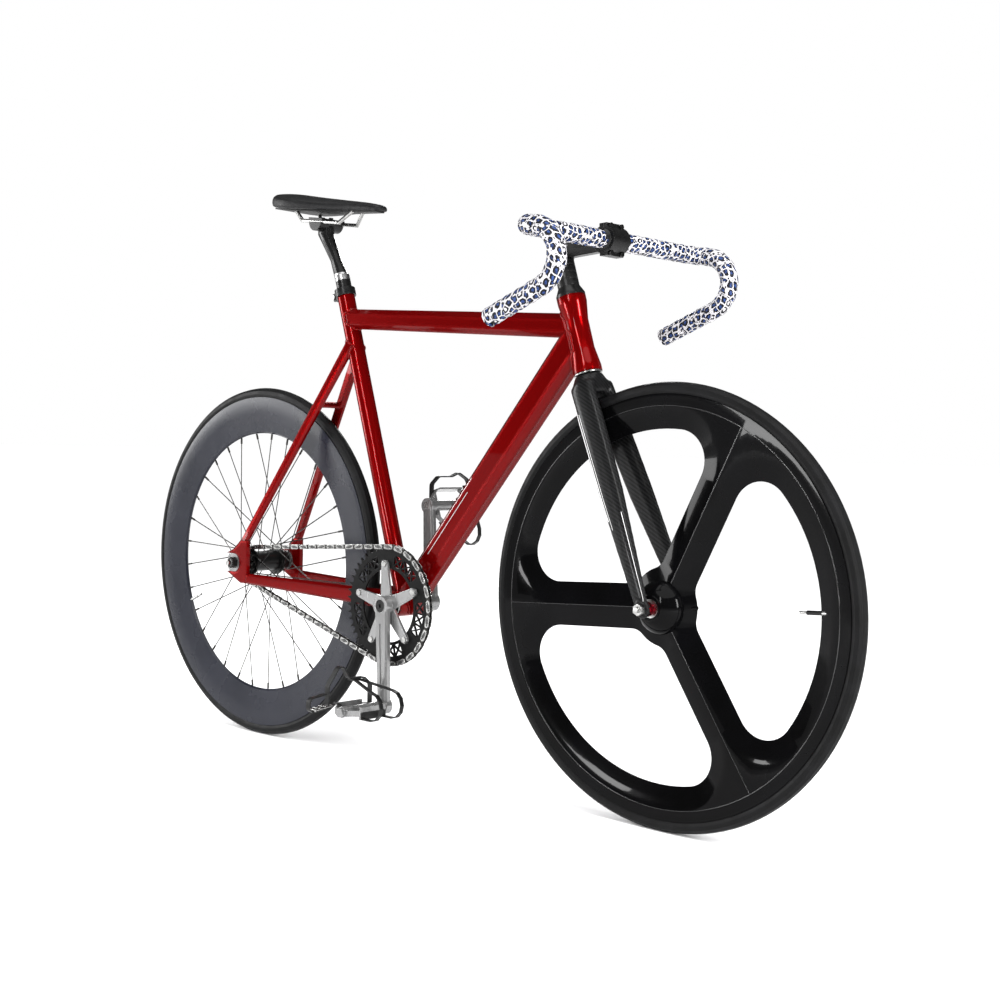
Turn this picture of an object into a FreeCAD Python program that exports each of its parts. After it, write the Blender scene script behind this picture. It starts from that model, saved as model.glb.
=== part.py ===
import FreeCAD, Part
import math
import os

from FreeCAD import Vector

# A fixed gear track bicycle in millimetres. X points forward, Y to the rider's left and Z up.
# The origin lies on the ground, midway between the two wheel axles. The drive side is at negative Y.

# Wheels and tyres
wheel_radius = 334.0
tyre_width = 23.0
tyre_depth = 22.0
tyre_base_width = 13.0
tyre_crown_steps = 8
rim_lip = 4.0
rim_lip_width = 1.1
rim_width = 21.4
brake_track = 13.0
rear_rim_depth = 69.0
rear_rim_nose_width = 7.0
rear_rim_nose_depth = 3.0
front_rim_depth = 51.5
front_spoke_count = 3
front_spoke_angle = 63.5
front_spoke_width = 69.0
front_spoke_bevel = 34.0
front_opening_rim_fillet = 46.0
front_opening_hub_fillet = 27.0
front_hub_neck_radius = 60.0
front_hub_radius = 40.0
front_hub_dome_radius = 19.0
front_hub_width = 72.0
front_hub_dome_step = 5.0
valve_radius = 3.0
valve_tip_radius = 2.0
valve_length = 44.0
valve_tip_length = 12.0
front_valve_angle = 3.5
rear_valve_place = 9

# Hub bearings and axles
hub_bearing_radius = 14.0
hub_bearing_width = 8.0
front_axle_radius = 4.5
front_axle_end_radius = 4.1
front_axle_length = 142.0
front_dropout_spacing = 100.0
front_cone_radius = 8.0
front_cone_flange_radius = 11.5
front_cone_flange_width = 7.0
front_nut_width = 9.0
front_nut_radius = 9.0
rear_axle_radius = 5.0
rear_axle_end_radius = 4.6
rear_axle_length = 166.0
rear_axle_shoulder_radius = 8.5
rear_dropout_spacing = 120.0
rear_nut_width = 10.0
rear_nut_radius = 10.5

# Rear hub, spokes and cog
rear_flange_radius = 27.0
rear_flange_width = 3.0
rear_flange_left = 33.0
rear_flange_right = 30.0
rear_hub_waist_radius = 19.0
rear_hub_end_radius = 18.0
rear_hub_left_end = 53.0
rear_hub_right_end = 56.0
rear_spoke_count = 32
rear_spoke_cross = 3
rear_spoke_thickness = 1.4
rear_spoke_blade = 2.4
rear_spoke_hole_radius = 22.5
rear_nipple_length = 11.0
rear_nipple_radius = 2.0
rear_nipple_gap = 0.4
cog_thickness = 3.0
cog_thread_radius = 16.5
lockring_radius = 20.0
lockring_width = 4.0
lockring_notches = 6
lockring_notch = 5.0

# Chain drive
chain_pitch = 12.7
ring_teeth = 50
cog_teeth = 14
chainstay_room = 55.0
chain_line = 44.0
roller_radius = 3.9
roller_sides = 6
roller_gap = 0.25
tooth_height = 4.2
tooth_crest_shares = (0.43, 0.57)
ring_thickness = 3.0
inner_plate_gap = 3.6
plate_thickness = 1.0
plate_gap = 0.1
inner_plate_height = 8.2
outer_plate_height = 8.8

# Chainring
bolt_circle_radius = 72.0
bolt_count = 5
bolt_angle = 23.0
bolt_radius = 5.0
bolt_head_height = 2.0
ring_inner_radius = 63.5
ring_window_inner = 68.0
ring_window_outer = 90.0
ring_window_angle = 44.0
ring_window_cells = 3
ring_strut_width = 2.6

# Cranks and bottom bracket
bottom_bracket_drop = 45.6
shell_radius = 21.0
shell_width = 68.0
shell_bore_radius = 17.0
cup_flange_radius = 19.5
cup_flange_width = 3.5
cup_depth = 14.0
bracket_bearing_radius = 14.5
bracket_bearing_width = 9.0
spindle_radius = 8.5
spindle_square = 12.7
spindle_half_length = 59.0
crank_length = 170.0
crank_angle = -84.0
crank_boss_radius = 17.0
crank_boss_inner = 41.0
crank_boss_outer = 64.0
crank_root_width = 30.0
crank_tip_width = 24.0
crank_thickness = 13.0
crank_tip_outer = 73.0
crank_tip_radius = 14.0
crank_edge = 3.0
crank_flute_width = 9.0
crank_flute_depth = 1.6
crank_flute_start = 30.0
crank_flute_end = 142.0
spider_thickness = 5.0
spider_root_width = 26.0
spider_tip_width = 15.0
spider_tip_length = 6.0
crank_bolt_radius = 11.0
crank_bolt_depth = 4.0
crank_bolt_socket = 4.0
pedal_thread_radius = 7.0

# Pedals, clips and straps
pedal_axle_radius = 5.0
pedal_axle_collar = 3.0
pedal_axle_collar_radius = 9.0
pedal_side_gap = 1.5
pedal_width = 84.0
pedal_barrel_radius = 9.5
pedal_cage_length = 62.0
pedal_cage_height = 21.0
pedal_cage_thickness = 3.0
pedal_cage_corner = 14.0
pedal_cage_inner_corner = 6.0
pedal_arm_height = 10.0
pedal_arm_thickness = 7.0
pedal_cap_radius = 8.0
pedal_cap_length = 6.0
clip_thickness = 2.6
clip_band_width = 7.0
clip_rail_spacing = 46.0
clip_top_spacing = 12.0
clip_reach = 46.0
clip_height = 46.0
clip_rise = 12.0
clip_bend_steps = 6
clip_plate_height = 12.0
clip_tongue_length = 16.0
strap_width = 11.0
strap_thickness = 2.2
strap_gap = 0.3
strap_shoulder = 14.0
strap_bulge = 26.0
strap_crest_rise = 20.0
strap_crest_reach = 32.0
strap_tail_reach = 38.0
strap_tail_drop = 34.0
buckle_height = 20.0
buckle_width = 15.0
buckle_thickness = 4.0
left_pedal_turn = 72.0

# Frame tubes
front_centre_room = 221.0
seat_angle = 72.4
seat_tube_length = 583.0
seat_tube_radius = 15.6
seat_tube_back = 5.0
top_tube_wall = 1.8
top_tube_rear_drop = 57.0
top_tube_front_drop = 47.0
top_tube_rear_height = 35.0
top_tube_rear_width = 31.0
top_tube_front_height = 38.0
top_tube_front_width = 34.0
down_tube_wall = 1.8
down_tube_head_rise = 60.0
down_tube_height = 50.0
down_tube_width = 37.0
down_tube_head_height = 54.0
tube_corner_share = 0.27
tube_crown_share = 0.2
bracket_corner_share = 0.3
tyre_room = 6.0
chainstay_root_y = 20.0
chainstay_root_height = 34.0
chainstay_root_width = 17.0
chainstay_root_rise = 6.0
chainstay_tip_height = 19.0
chainstay_tip_width = 13.0
seatstay_top_y = 11.0
seatstay_top_ahead = 2.0
seatstay_top_drop = 12.0
seatstay_top_depth = 22.0
seatstay_top_width = 13.0
seatstay_tip_width = 12.0
bridge_position_share = 0.3
bridge_depth = 14.0
bridge_height = 8.0
dropout_thickness = 8.0
dropout_front = 40.0
dropout_rear = 21.0
dropout_top = 44.0
dropout_bottom = 37.0
dropout_waist = 18.0
dropout_pocket_radius = 17.5
dropout_stay_low = 19.0
dropout_stay_back = 21.0
insert_thickness = 6.0
insert_corner = 7.0
collar_height = 14.0
collar_wall = 3.2
collar_ear_length = 9.0
collar_ear_width = 5.0
collar_slot = 2.0
collar_bolt_radius = 2.5
collar_bolt_head_radius = 4.2
collar_bolt_head_length = 4.0

# Steering
head_angle = 72.2
fork_rake = 44.0
crown_room = 46.3
head_tube_length = 124.5
head_tube_end_radius = 23.0
head_tube_waist_radius = 18.8
head_tube_collar = 9.0
head_tube_taper = 30.0
head_tube_bore_radius = 16.6
headset_radius = 20.5
headset_height = 7.0
headset_gap = 0.4
crown_race_height = 2.0
crown_race_radius = 22.4
headset_cover_height = 15.6
headset_cover_top_radius = 17.6
headset_cover_lip = 4.0
spacer_count = 4
spacer_height = 11.4
spacer_radius = 17.2
spacer_edge = 0.5
steerer_radius = 14.3
steerer_bore_radius = 11.5
steerer_end_gap = 3.0
fork_crown_depth = 34.0
fork_crown_radius = 22.4
fork_crown_width = 67.0
fork_crown_length = 50.0
fork_crown_draw = 6.6
fork_blade_root_width = 21.0
fork_blade_root_length = 50.0
fork_blade_mid_width = 18.0
fork_blade_mid_length = 45.0
fork_blade_mid_share = 0.5
fork_blade_mid_y = 36.5
fork_blade_tip_width = 6.6
fork_blade_tip_length = 25.0
fork_blade_sides = 12
fork_tip_thickness = 7.0
fork_tip_radius = 13.0

# Stem and handlebar
stem_clamp_height = 40.0
stem_clamp_radius = 18.6
stem_length = 103.0
stem_fall = 15.0
stem_root_height = 34.0
stem_root_width = 31.0
stem_tip_height = 30.0
stem_tip_width = 34.0
stem_corner_share = 0.3
bar_clamp_width = 40.0
bar_clamp_wall = 5.0
bar_clamp_split = 1.2
bar_clamp_ear = 7.0
stem_bolt_radius = 3.9
stem_bolt_head = 4.5
stem_bolt_spacing = 26.0
top_cap_height = 5.0
top_cap_edge = 1.5
top_cap_bolt_radius = 5.0
top_cap_bolt_head = 1.6
bar_clamp_radius = 15.9
bar_sleeve_half = 20.5
bar_taper_end = 24.5
bar_radius = 11.9
bar_sides = 12
bar_half_width = 210.0
bar_bend_radius = 32.0
bar_ramp_angle = 8.0
bar_ramp_length = 3.0
bar_hook_radius = 45.0
bar_hook_end = 158.0
bar_drop_length = 104.0
bar_bend_steps = 5
bar_hook_steps = 8
tape_thickness = 2.8
plug_radius = 14.0
plug_length = 4.0

# Seatpost and saddle
post_radius = 13.6
post_insert = 150.0
post_round = 26.0
post_band_height = 6.0
post_neck_width = 19.0
post_neck_depth = 21.0
post_neck_share = 0.38
post_head_width = 26.0
post_head_depth = 34.0
post_head_drop = 22.0
post_horn_drop = 8.0
post_setback = 15.0
saddle_rise = 131.0
saddle_pitch = 7.0
cradle_radius = 17.0
cradle_half_length = 27.0
cradle_rail_drop = 1.0
clamp_plate_height = 6.5
clamp_plate_length = 38.0
clamp_bolt_radius = 2.4
clamp_bolt_head_radius = 4.2
clamp_bolt_head_height = 3.0
clamp_bolt_spacing = 24.0
rail_radius = 3.5
rail_sides = 10
rail_half_spacing = 22.0
rail_front = 61.0
rail_rear = -42.0
rail_bend = 6.0
rail_front_end = 92.0
rail_front_end_y = 9.0
rail_rear_end = -66.0
rail_rear_end_y = 32.0
rail_end_rise = 30.0
shell_thickness = 2.6
shell_inset = 5.0
saddle_nose = 153.0
saddle_tail = -119.0
saddle_half_width = 60.0
saddle_top = 46.0
saddle_skirt = 23.0

# Fits
run_clearance = 0.05
side_clearance = 0.4
slot_clearance = 0.2
overrun = 2.0

UP = Vector(0, 0, 1)
LEFT = Vector(0, 1, 0)
FORWARD = Vector(1, 0, 0)
ROUND_END = (67.5, 22.5, -22.5, -67.5)


def direction(angle):
    """A unit vector in the plane of the frame, measured from forward towards up."""
    turn = math.radians(angle)
    return Vector(math.cos(turn), 0, math.sin(turn))


def pitch_radius(teeth):
    return chain_pitch / (2 * math.sin(math.pi / teeth))


def chain_lean(centre_distance):
    return math.asin((pitch_radius(ring_teeth) - pitch_radius(cog_teeth)) / centre_distance)


def chain_length(centre_distance):
    """Length of the closed chain round both wheels, counted in whole pitches on the teeth."""
    lean = chain_lean(centre_distance)
    on_ring = ring_teeth * chain_pitch * (0.5 + lean / math.pi)
    on_cog = cog_teeth * chain_pitch * (0.5 - lean / math.pi)
    return 2 * centre_distance * math.cos(lean) + on_ring + on_cog


def chain_links():
    """The least even number of links that keeps the rear tyre clear of the seat tube."""
    least = chain_length(wheel_radius + seat_tube_radius + chainstay_room)
    return 2 * math.ceil(least / (2 * chain_pitch))


def chain_centre_distance():
    """The distance between cranks and rear axle at which the chain just closes."""
    target = chain_links() * chain_pitch
    distance = (target - chain_pitch * (ring_teeth + cog_teeth) / 2) / 2
    for _ in range(30):
        distance += (target - chain_length(distance)) / 2
    return distance


# Places that follow from the sizes above
rear_centre = math.sqrt(chain_centre_distance() ** 2 - bottom_bracket_drop**2)
front_centre = wheel_radius + front_centre_room
wheelbase = front_centre + rear_centre
front_axle_at = Vector(wheelbase / 2, 0, wheel_radius)
rear_axle_at = Vector(-wheelbase / 2, 0, wheel_radius)
bracket_at = Vector(wheelbase / 2 - front_centre, 0, wheel_radius - bottom_bracket_drop)
seat_axis = direction(180 - seat_angle)
steer_axis = direction(180 - head_angle)
steer_normal = direction(90 - head_angle)
steer_foot = front_axle_at - steer_normal * fork_rake
crown_reach = wheel_radius + crown_room
head_low = crown_reach
head_high = crown_reach + head_tube_length
spacers_low = head_high + headset_gap + headset_cover_height
stem_low = spacers_low + spacer_count * spacer_height
stem_high = stem_low + stem_clamp_height
rim_bed_radius = wheel_radius - tyre_depth
rim_lip_radius = rim_bed_radius + rim_lip
rear_valve_angle = rear_valve_place * 720 / rear_spoke_count
crank_direction = direction(crank_angle)
seat_back = direction(270 - seat_angle)
strap_back = -(pedal_barrel_radius + strap_gap + strap_width)
saddle_forward = direction(-saddle_pitch)
saddle_up = direction(90 - saddle_pitch)
saddle_at = seat_tube_length + saddle_rise
saddle_pivot = bracket_at + seat_axis * saddle_at - FORWARD * (seat_tube_back + post_setback)


def seat_point(length):
    """A point on the seat tube's axis, measured up from its foot just behind the cranks."""
    return bracket_at - FORWARD * seat_tube_back + seat_axis * length


def steer_point(length, ahead=0.0, left=0.0):
    """A point along the steering axis, with an offset ahead of it and to the left."""
    return steer_foot + steer_axis * length + steer_normal * ahead + LEFT * left


def saddle_point(ahead, left, up):
    return saddle_pivot + saddle_forward * ahead + LEFT * left + saddle_up * up


def outline(points):
    return Part.makePolygon(points + [points[0]])


def prism(points, depth):
    """A flat outline pushed along a vector."""
    return Part.Face(outline(points)).extrude(depth)


def rod(start, end, radius):
    axis = end - start
    return Part.makeCylinder(radius, axis.Length, start, axis)


def tube(start, end, radius, bore):
    reach = (end - start).normalize() * overrun
    return rod(start, end, radius).cut(rod(start - reach, end + reach, bore))


def spin(profile, origin, axis, radial):
    """Turns a closed outline of (radius, height) pairs about an axis."""
    points = [origin + radial * r + axis * h for r, h in profile]
    return Part.Face(outline(points)).revolve(origin, axis, 360)


def turned(profile, centre):
    """A piece turned about a transverse axle, with heights counted to the left."""
    return spin(profile, centre, LEFT, UP)


def faceted(centre, across, upright, width, height, corner):
    """An eight-sided section with cut corners."""
    half_width = width / 2
    half_height = height / 2
    flat_width = half_width - corner
    flat_height = half_height - corner
    corners = [
        (half_width, -flat_height),
        (half_width, flat_height),
        (flat_width, half_height),
        (-flat_width, half_height),
        (-half_width, flat_height),
        (-half_width, -flat_height),
        (-flat_width, -half_height),
        (flat_width, -half_height),
    ]
    return [centre + across * a + upright * b for a, b in corners]


def oval(centre, across, upright, width, height, sides):
    """A many-sided oval section."""
    points = []
    for step in range(sides):
        turn = 2 * math.pi * (step + 0.5) / sides
        shift = across * (width / 2 * math.cos(turn)) + upright * (height / 2 * math.sin(turn))
        points.append(centre + shift)
    return points


def loft(sections):
    return Part.makeLoft([outline(section) for section in sections], True, True)


def mirrored(shape):
    return shape.mirror(Vector(0, 0, 0), LEFT)


def both_sides(shape):
    return [shape, mirrored(shape)]


def largest(shape):
    """The main solid of a trimmed piece, without the offcuts beyond its neighbours."""
    return max(shape.Solids, key=lambda solid: solid.Volume)


def turned_about(shape, centre, axis, angle):
    copy = shape.copy()
    copy.rotate(centre, axis, angle)
    return copy


def export(name, *shapes):
    """Writes one piece, or a group of like pieces, under its own name."""
    solids = [solid for shape in shapes for solid in shape.Solids]
    whole = solids[0] if len(solids) == 1 else Part.makeCompound(solids)
    whole.exportStep("parts/" + name + ".step")


# Frame


def head_tube_outside():
    half = (head_tube_end_radius, head_tube_waist_radius)
    profile = [
        (0, head_low),
        (half[0], head_low),
        (half[0], head_low + head_tube_collar),
        (half[1], head_low + head_tube_collar + head_tube_taper),
        (half[1], head_high - head_tube_collar - head_tube_taper),
        (half[0], head_high - head_tube_collar),
        (half[0], head_high),
        (0, head_high),
    ]
    return spin(profile, steer_foot, steer_axis, steer_normal)


def head_tube():
    bore = rod(steer_point(head_low - overrun), steer_point(head_high + overrun), head_tube_bore_radius)
    low_seat = rod(steer_point(head_low - overrun), steer_point(head_low + headset_height), headset_radius)
    high_seat = rod(steer_point(head_high - headset_height), steer_point(head_high + overrun), headset_radius)
    return head_tube_outside().cut(bore).cut(low_seat).cut(high_seat)


def headset_bearings():
    bore = steerer_radius + run_clearance
    low = tube(steer_point(head_low), steer_point(head_low + headset_height), headset_radius, bore)
    high = tube(steer_point(head_high - headset_height), steer_point(head_high), headset_radius, bore)
    return [low, high]


def seat_tube_outside():
    return rod(seat_point(0), seat_point(seat_tube_length), seat_tube_radius)


def shell_outside():
    half = LEFT * (shell_width / 2)
    return rod(bracket_at - half, bracket_at + half, shell_radius)


def seat_tube():
    bore = rod(seat_point(0), seat_point(seat_tube_length + overrun), post_radius + run_clearance)
    return seat_tube_outside().cut(bore).cut(shell_outside())


def faceted_tube(start, end, sizes, wall):
    """A hollow tube of eight flats between two axis points, with a width and height at each end."""
    along = (end - start).normalize()
    upright = along.cross(LEFT) * -1
    upright = upright if upright.z > 0 else upright * -1
    outside = []
    inside = []
    for centre, (width, height) in zip((start, end), sizes):
        corner = width * tube_corner_share
        outside.append(faceted(centre, LEFT, upright, width, height, corner))
        bore = (width - 2 * wall, height - 2 * wall)
        inside.append(faceted(centre, LEFT, upright, bore[0], bore[1], corner - wall * tube_crown_share))
    return loft(outside), loft(inside)


def top_tube_bodies():
    start = seat_point(seat_tube_length - top_tube_rear_drop)
    end = steer_point(head_high - top_tube_front_drop)
    sizes = ((top_tube_rear_width, top_tube_rear_height), (top_tube_front_width, top_tube_front_height))
    return faceted_tube(start, end, sizes, top_tube_wall)


def top_tube():
    outside, inside = top_tube_bodies()
    return largest(outside.cut(inside).cut(seat_tube_outside()).cut(head_tube_outside()))


def down_tube_bodies():
    end = steer_point(head_low + down_tube_head_rise)
    sizes = ((down_tube_width, down_tube_height), (down_tube_width, down_tube_head_height))
    return faceted_tube(bracket_at, end, sizes, down_tube_wall)


def down_tube():
    outside, inside = down_tube_bodies()
    trimmed = outside.cut(inside).cut(shell_outside()).cut(seat_tube_outside())
    return largest(trimmed.cut(head_tube_outside()).cut(top_tube_bodies()[0]))


def bottom_bracket_shell():
    half = LEFT * (shell_width / 2)
    return tube(bracket_at - half, bracket_at + half, shell_radius, shell_bore_radius)


def stay_section(centre, along, width, height):
    """A cut-cornered stay section whose width runs across the frame."""
    upright = along.cross(LEFT).normalize()
    return faceted(centre, LEFT, upright, width, height, width * bracket_corner_share)


def dropout_centre():
    return rear_axle_at - LEFT * ((rear_dropout_spacing + dropout_thickness) / 2)


def chainstay():
    root = bracket_at - LEFT * chainstay_root_y + UP * chainstay_root_rise
    drop = (dropout_stay_low + dropout_bottom) / 2
    tip = dropout_centre() + FORWARD * dropout_front - UP * drop
    along = (tip - root).normalize()
    sections = [
        stay_section(root, along, chainstay_root_width, chainstay_root_height),
        stay_section(tip, FORWARD, chainstay_tip_width, chainstay_tip_height),
    ]
    stay = loft(sections).cut(shell_outside()).cut(seat_tube_outside())
    return largest(stay.cut(down_tube_bodies()[0]))


def seatstay_ends():
    root = seat_point(seat_tube_length - top_tube_rear_drop - top_tube_rear_height - seatstay_top_drop)
    root = root - LEFT * seatstay_top_y + FORWARD * seatstay_top_ahead
    tip = dropout_centre() + UP * dropout_top + FORWARD * ((dropout_front + dropout_stay_back) / 2)
    return root, tip


def seatstay():
    root, tip = seatstay_ends()
    along = (tip - root).normalize()
    sections = [
        stay_section(root, along, seatstay_top_width, seatstay_top_depth),
        stay_section(tip, UP, seatstay_tip_width, dropout_front - dropout_stay_back),
    ]
    return largest(loft(sections).cut(seat_tube_outside()))


def seatstay_bridge(stays):
    root, tip = seatstay_ends()
    middle = root + (tip - root) * bridge_position_share
    half = Vector(0, middle.y, 0)
    along = (tip - root).normalize()
    corner = bridge_height * bracket_corner_share
    section = faceted(middle, along, along.cross(LEFT), bridge_height, bridge_depth, corner)
    bridge = prism(section, half * -2)
    for stay in stays:
        bridge = bridge.cut(stay)
    return largest(bridge)


def pocket_cut(centre, depth):
    """The rearward opening of a track end, with a rounded front."""
    back = centre - FORWARD * (dropout_rear + overrun)
    rise = UP * dropout_pocket_radius
    slab = prism([centre - rise, centre + rise, back + rise, back - rise], depth)
    return slab.fuse(rod(centre, centre + depth, dropout_pocket_radius)).removeSplitter()


def dropout():
    face = rear_axle_at - LEFT * (rear_dropout_spacing / 2)
    depth = LEFT * -dropout_thickness
    corners = [
        (dropout_front, dropout_top),
        (dropout_stay_back, dropout_top),
        (0, dropout_pocket_radius + dropout_waist / 2),
        (-dropout_rear, dropout_pocket_radius),
        (-dropout_rear, -dropout_pocket_radius),
        (dropout_stay_back, -dropout_bottom),
        (dropout_front, -dropout_bottom),
    ]
    plate = prism([face + FORWARD * x + UP * z for x, z in corners], depth)
    return plate.cut(pocket_cut(face + LEFT * overrun, depth - LEFT * (2 * overrun)))


def dropout_insert():
    face = rear_axle_at - LEFT * (rear_dropout_spacing / 2)
    depth = LEFT * -insert_thickness
    back = -dropout_rear
    rise = dropout_pocket_radius
    corners = [
        (0, rise),
        (back + insert_corner, rise),
        (back, rise - insert_corner),
        (back, insert_corner - rise),
        (back + insert_corner, -rise),
        (0, -rise),
    ]
    plate = prism([face + FORWARD * x + UP * z for x, z in corners], depth)
    plate = plate.fuse(rod(face, face + depth, rise)).removeSplitter()
    slot_half = rear_axle_radius + slot_clearance
    start = face + LEFT * overrun
    through = depth - LEFT * (2 * overrun)
    rear = FORWARD * (back - overrun)
    rise = UP * slot_half
    slot = prism([start + rise, start - rise, start + rear - rise, start + rear + rise], through)
    return plate.cut(slot).cut(rod(start, start + through, slot_half))


def seat_collar():
    low = seat_point(seat_tube_length - collar_height)
    high = seat_point(seat_tube_length)
    outer = seat_tube_radius + collar_wall
    ring = rod(low, high, outer)
    back = seat_back * (outer + collar_ear_length)
    half = LEFT * (collar_slot / 2 + collar_ear_width)
    ears = prism([low + half, low - half, low - half + back, low + half + back], high - low)
    reach = seat_axis * overrun
    bore = rod(low - reach, high + reach, seat_tube_radius)
    gap = LEFT * (collar_slot / 2)
    start = low - reach + seat_back * (seat_tube_radius - overrun)
    slot_back = seat_back * (collar_wall + collar_ear_length + 2 * overrun)
    rise = (high - low) + reach * 2
    slot = prism([start + gap, start - gap, start - gap + slot_back, start + gap + slot_back], rise)
    hole_at = (low + high) * 0.5 + seat_back * (outer + collar_ear_length / 2)
    hole = rod(hole_at - half * 2, hole_at + half * 2, collar_bolt_radius)
    collar = ring.fuse(ears).removeSplitter().cut(bore).cut(slot).cut(hole)
    shank = rod(hole_at - half, hole_at + half, collar_bolt_radius)
    head = rod(hole_at - half - LEFT * collar_bolt_head_length, hole_at - half, collar_bolt_head_radius)
    return [collar, shank.fuse(head)]


# Bottom bracket and cranks


def bracket_cup():
    edge = -shell_width / 2
    profile = [
        (bracket_bearing_radius, edge - cup_flange_width),
        (cup_flange_radius, edge - cup_flange_width),
        (cup_flange_radius, edge),
        (shell_bore_radius, edge),
        (shell_bore_radius, edge + cup_depth),
        (spindle_radius + overrun, edge + cup_depth),
        (spindle_radius + overrun, edge + bracket_bearing_width - cup_flange_width),
        (bracket_bearing_radius, edge + bracket_bearing_width - cup_flange_width),
    ]
    return turned(profile, bracket_at)


def bracket_bearing():
    start = bracket_at - LEFT * (shell_width / 2 + cup_flange_width)
    end = start + LEFT * bracket_bearing_width
    return tube(start, end, bracket_bearing_radius, spindle_radius + run_clearance)


def square_end(start, depth):
    """The square of the spindle's end, turned with the crank."""
    half = spindle_square / 2
    side = crank_direction.cross(LEFT)
    corners = [(half, half), (half, -half), (-half, -half), (-half, half)]
    return prism([start + crank_direction * a + side * b for a, b in corners], depth)


def spindle():
    inner = LEFT * crank_boss_inner
    body = rod(bracket_at - inner, bracket_at + inner, spindle_radius)
    depth = LEFT * (spindle_half_length - crank_boss_inner)
    ends = [square_end(bracket_at - inner, depth * -1), square_end(bracket_at + inner, depth)]
    return body.fuse(ends[0]).fuse(ends[1])


def crank_arm(side):
    """A forged arm on the side -1 (right) or 1 (left), with its boss, eye and flute."""
    out = LEFT * side
    along = crank_direction * -side
    across = along.cross(LEFT)
    eye = bracket_at + along * crank_length
    tip_middle = crank_tip_outer - crank_thickness / 2
    root_middle = crank_boss_outer - crank_thickness / 2
    sections = [
        faceted(bracket_at + out * root_middle, across, LEFT, crank_root_width, crank_thickness, crank_edge),
        faceted(eye + out * tip_middle, across, LEFT, crank_tip_width, crank_thickness, crank_edge),
    ]
    arm = loft(sections)
    boss = rod(bracket_at + out * crank_boss_inner, bracket_at + out * crank_boss_outer, crank_boss_radius)
    tip = rod(eye + out * (crank_tip_outer - crank_thickness), eye + out * crank_tip_outer, crank_tip_radius)
    arm = arm.fuse(boss).fuse(tip)
    lean = out * ((crank_tip_outer - crank_boss_outer) / crank_length)
    flute_start = bracket_at + out * crank_boss_outer + (along + lean) * crank_flute_start
    flute_end = bracket_at + out * crank_boss_outer + (along + lean) * crank_flute_end
    half = across * (crank_flute_width / 2)
    floor = half * bracket_corner_share
    cut = []
    for place in (flute_start, flute_end):
        top = out * overrun
        cut.append([place - half + top, place + half + top, place + floor - out * crank_flute_depth,
                    place - floor - out * crank_flute_depth])
    arm = arm.cut(loft(cut))
    arm = arm.cut(square_end(bracket_at, out * spindle_half_length))
    bolt_start = bracket_at + out * spindle_half_length
    arm = arm.cut(rod(bolt_start, bolt_start + out * crank_boss_outer, crank_bolt_radius))
    hole = rod(eye, eye + out * (crank_tip_outer + overrun), pedal_thread_radius)
    return arm.cut(hole)


def bolt_places():
    return [bolt_angle + index * 360 / bolt_count for index in range(bolt_count)]


def spider():
    """Five tapering arms that carry the chainring on their inner faces."""
    face = bracket_at - LEFT * (chain_line + ring_thickness / 2)
    depth = LEFT * -spider_thickness
    whole = rod(face, face + depth, crank_boss_radius)
    for angle in bolt_places():
        along = direction(angle)
        across = along.cross(LEFT)
        end = bolt_circle_radius + spider_tip_length
        corners = [
            (0, spider_root_width / 2),
            (0, -spider_root_width / 2),
            (bolt_circle_radius, -spider_tip_width / 2),
            (end, -spider_tip_width / 4),
            (end, spider_tip_width / 4),
            (bolt_circle_radius, spider_tip_width / 2),
        ]
        whole = whole.fuse(prism([face + along * a + across * b for a, b in corners], depth))
    for angle in bolt_places():
        place = face + direction(angle) * bolt_circle_radius
        whole = whole.cut(rod(place - depth, place + depth * 2, bolt_radius))
    return whole


def crank_arm_right():
    arm = crank_arm(-1).fuse(spider())
    return arm.cut(square_end(bracket_at, LEFT * -spindle_half_length))


def tooth_outline(teeth, centre, phase):
    """A toothed outline with a seat for a roller at each pitch point."""
    radius = pitch_radius(teeth)
    step = 360 / teeth
    seat = (roller_radius + roller_gap) / math.cos(math.radians(min(map(abs, ROUND_END))))
    points = []
    for index in range(teeth):
        middle = math.degrees(phase) + index * step
        for angle in ROUND_END:
            points.append(centre + direction(middle) * radius - direction(middle + angle) * seat)
        for share in tooth_crest_shares:
            points.append(centre + direction(middle + share * step) * (radius + tooth_height))
    return points


def sprocket(teeth, centre, phase, thickness):
    points = [point + LEFT * (thickness / 2) for point in tooth_outline(teeth, centre, phase)]
    return prism(points, LEFT * -thickness)


def shrunk(points, inset):
    """A triangle drawn in by the same distance on all three sides."""
    sides = [(points[(i + 1) % 3] - points[(i + 2) % 3]).Length for i in range(3)]
    around = sum(sides)
    middle = (points[0] * sides[0] + points[1] * sides[1] + points[2] * sides[2]) * (1 / around)
    area = (points[1] - points[0]).cross(points[2] - points[0]).Length / 2
    share = 1 - inset * around / (2 * area)
    return [middle + (point - middle) * share for point in points]


def ring_window(start_angle, centre):
    """The triangular openings of one trussed stretch between two bolt tabs."""
    cuts = []
    cell = ring_window_angle / ring_window_cells
    through = LEFT * (-2 * ring_thickness)
    for index in range(ring_window_cells):
        first = direction(start_angle + index * cell)
        last = direction(start_angle + (index + 1) * cell)
        low = [centre + first * ring_window_inner, centre + last * ring_window_inner]
        high = [centre + first * ring_window_outer, centre + last * ring_window_outer]
        cross = (low[0] + low[1] + high[0] + high[1]) * (1 / 4)
        for pair in ((low[0], low[1]), (low[1], high[1]), (high[1], high[0]), (high[0], low[0])):
            triangle = shrunk([pair[0], pair[1], cross], ring_strut_width / 2)
            cuts.append(prism([point + LEFT * ring_thickness for point in triangle], through))
    return cuts


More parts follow.
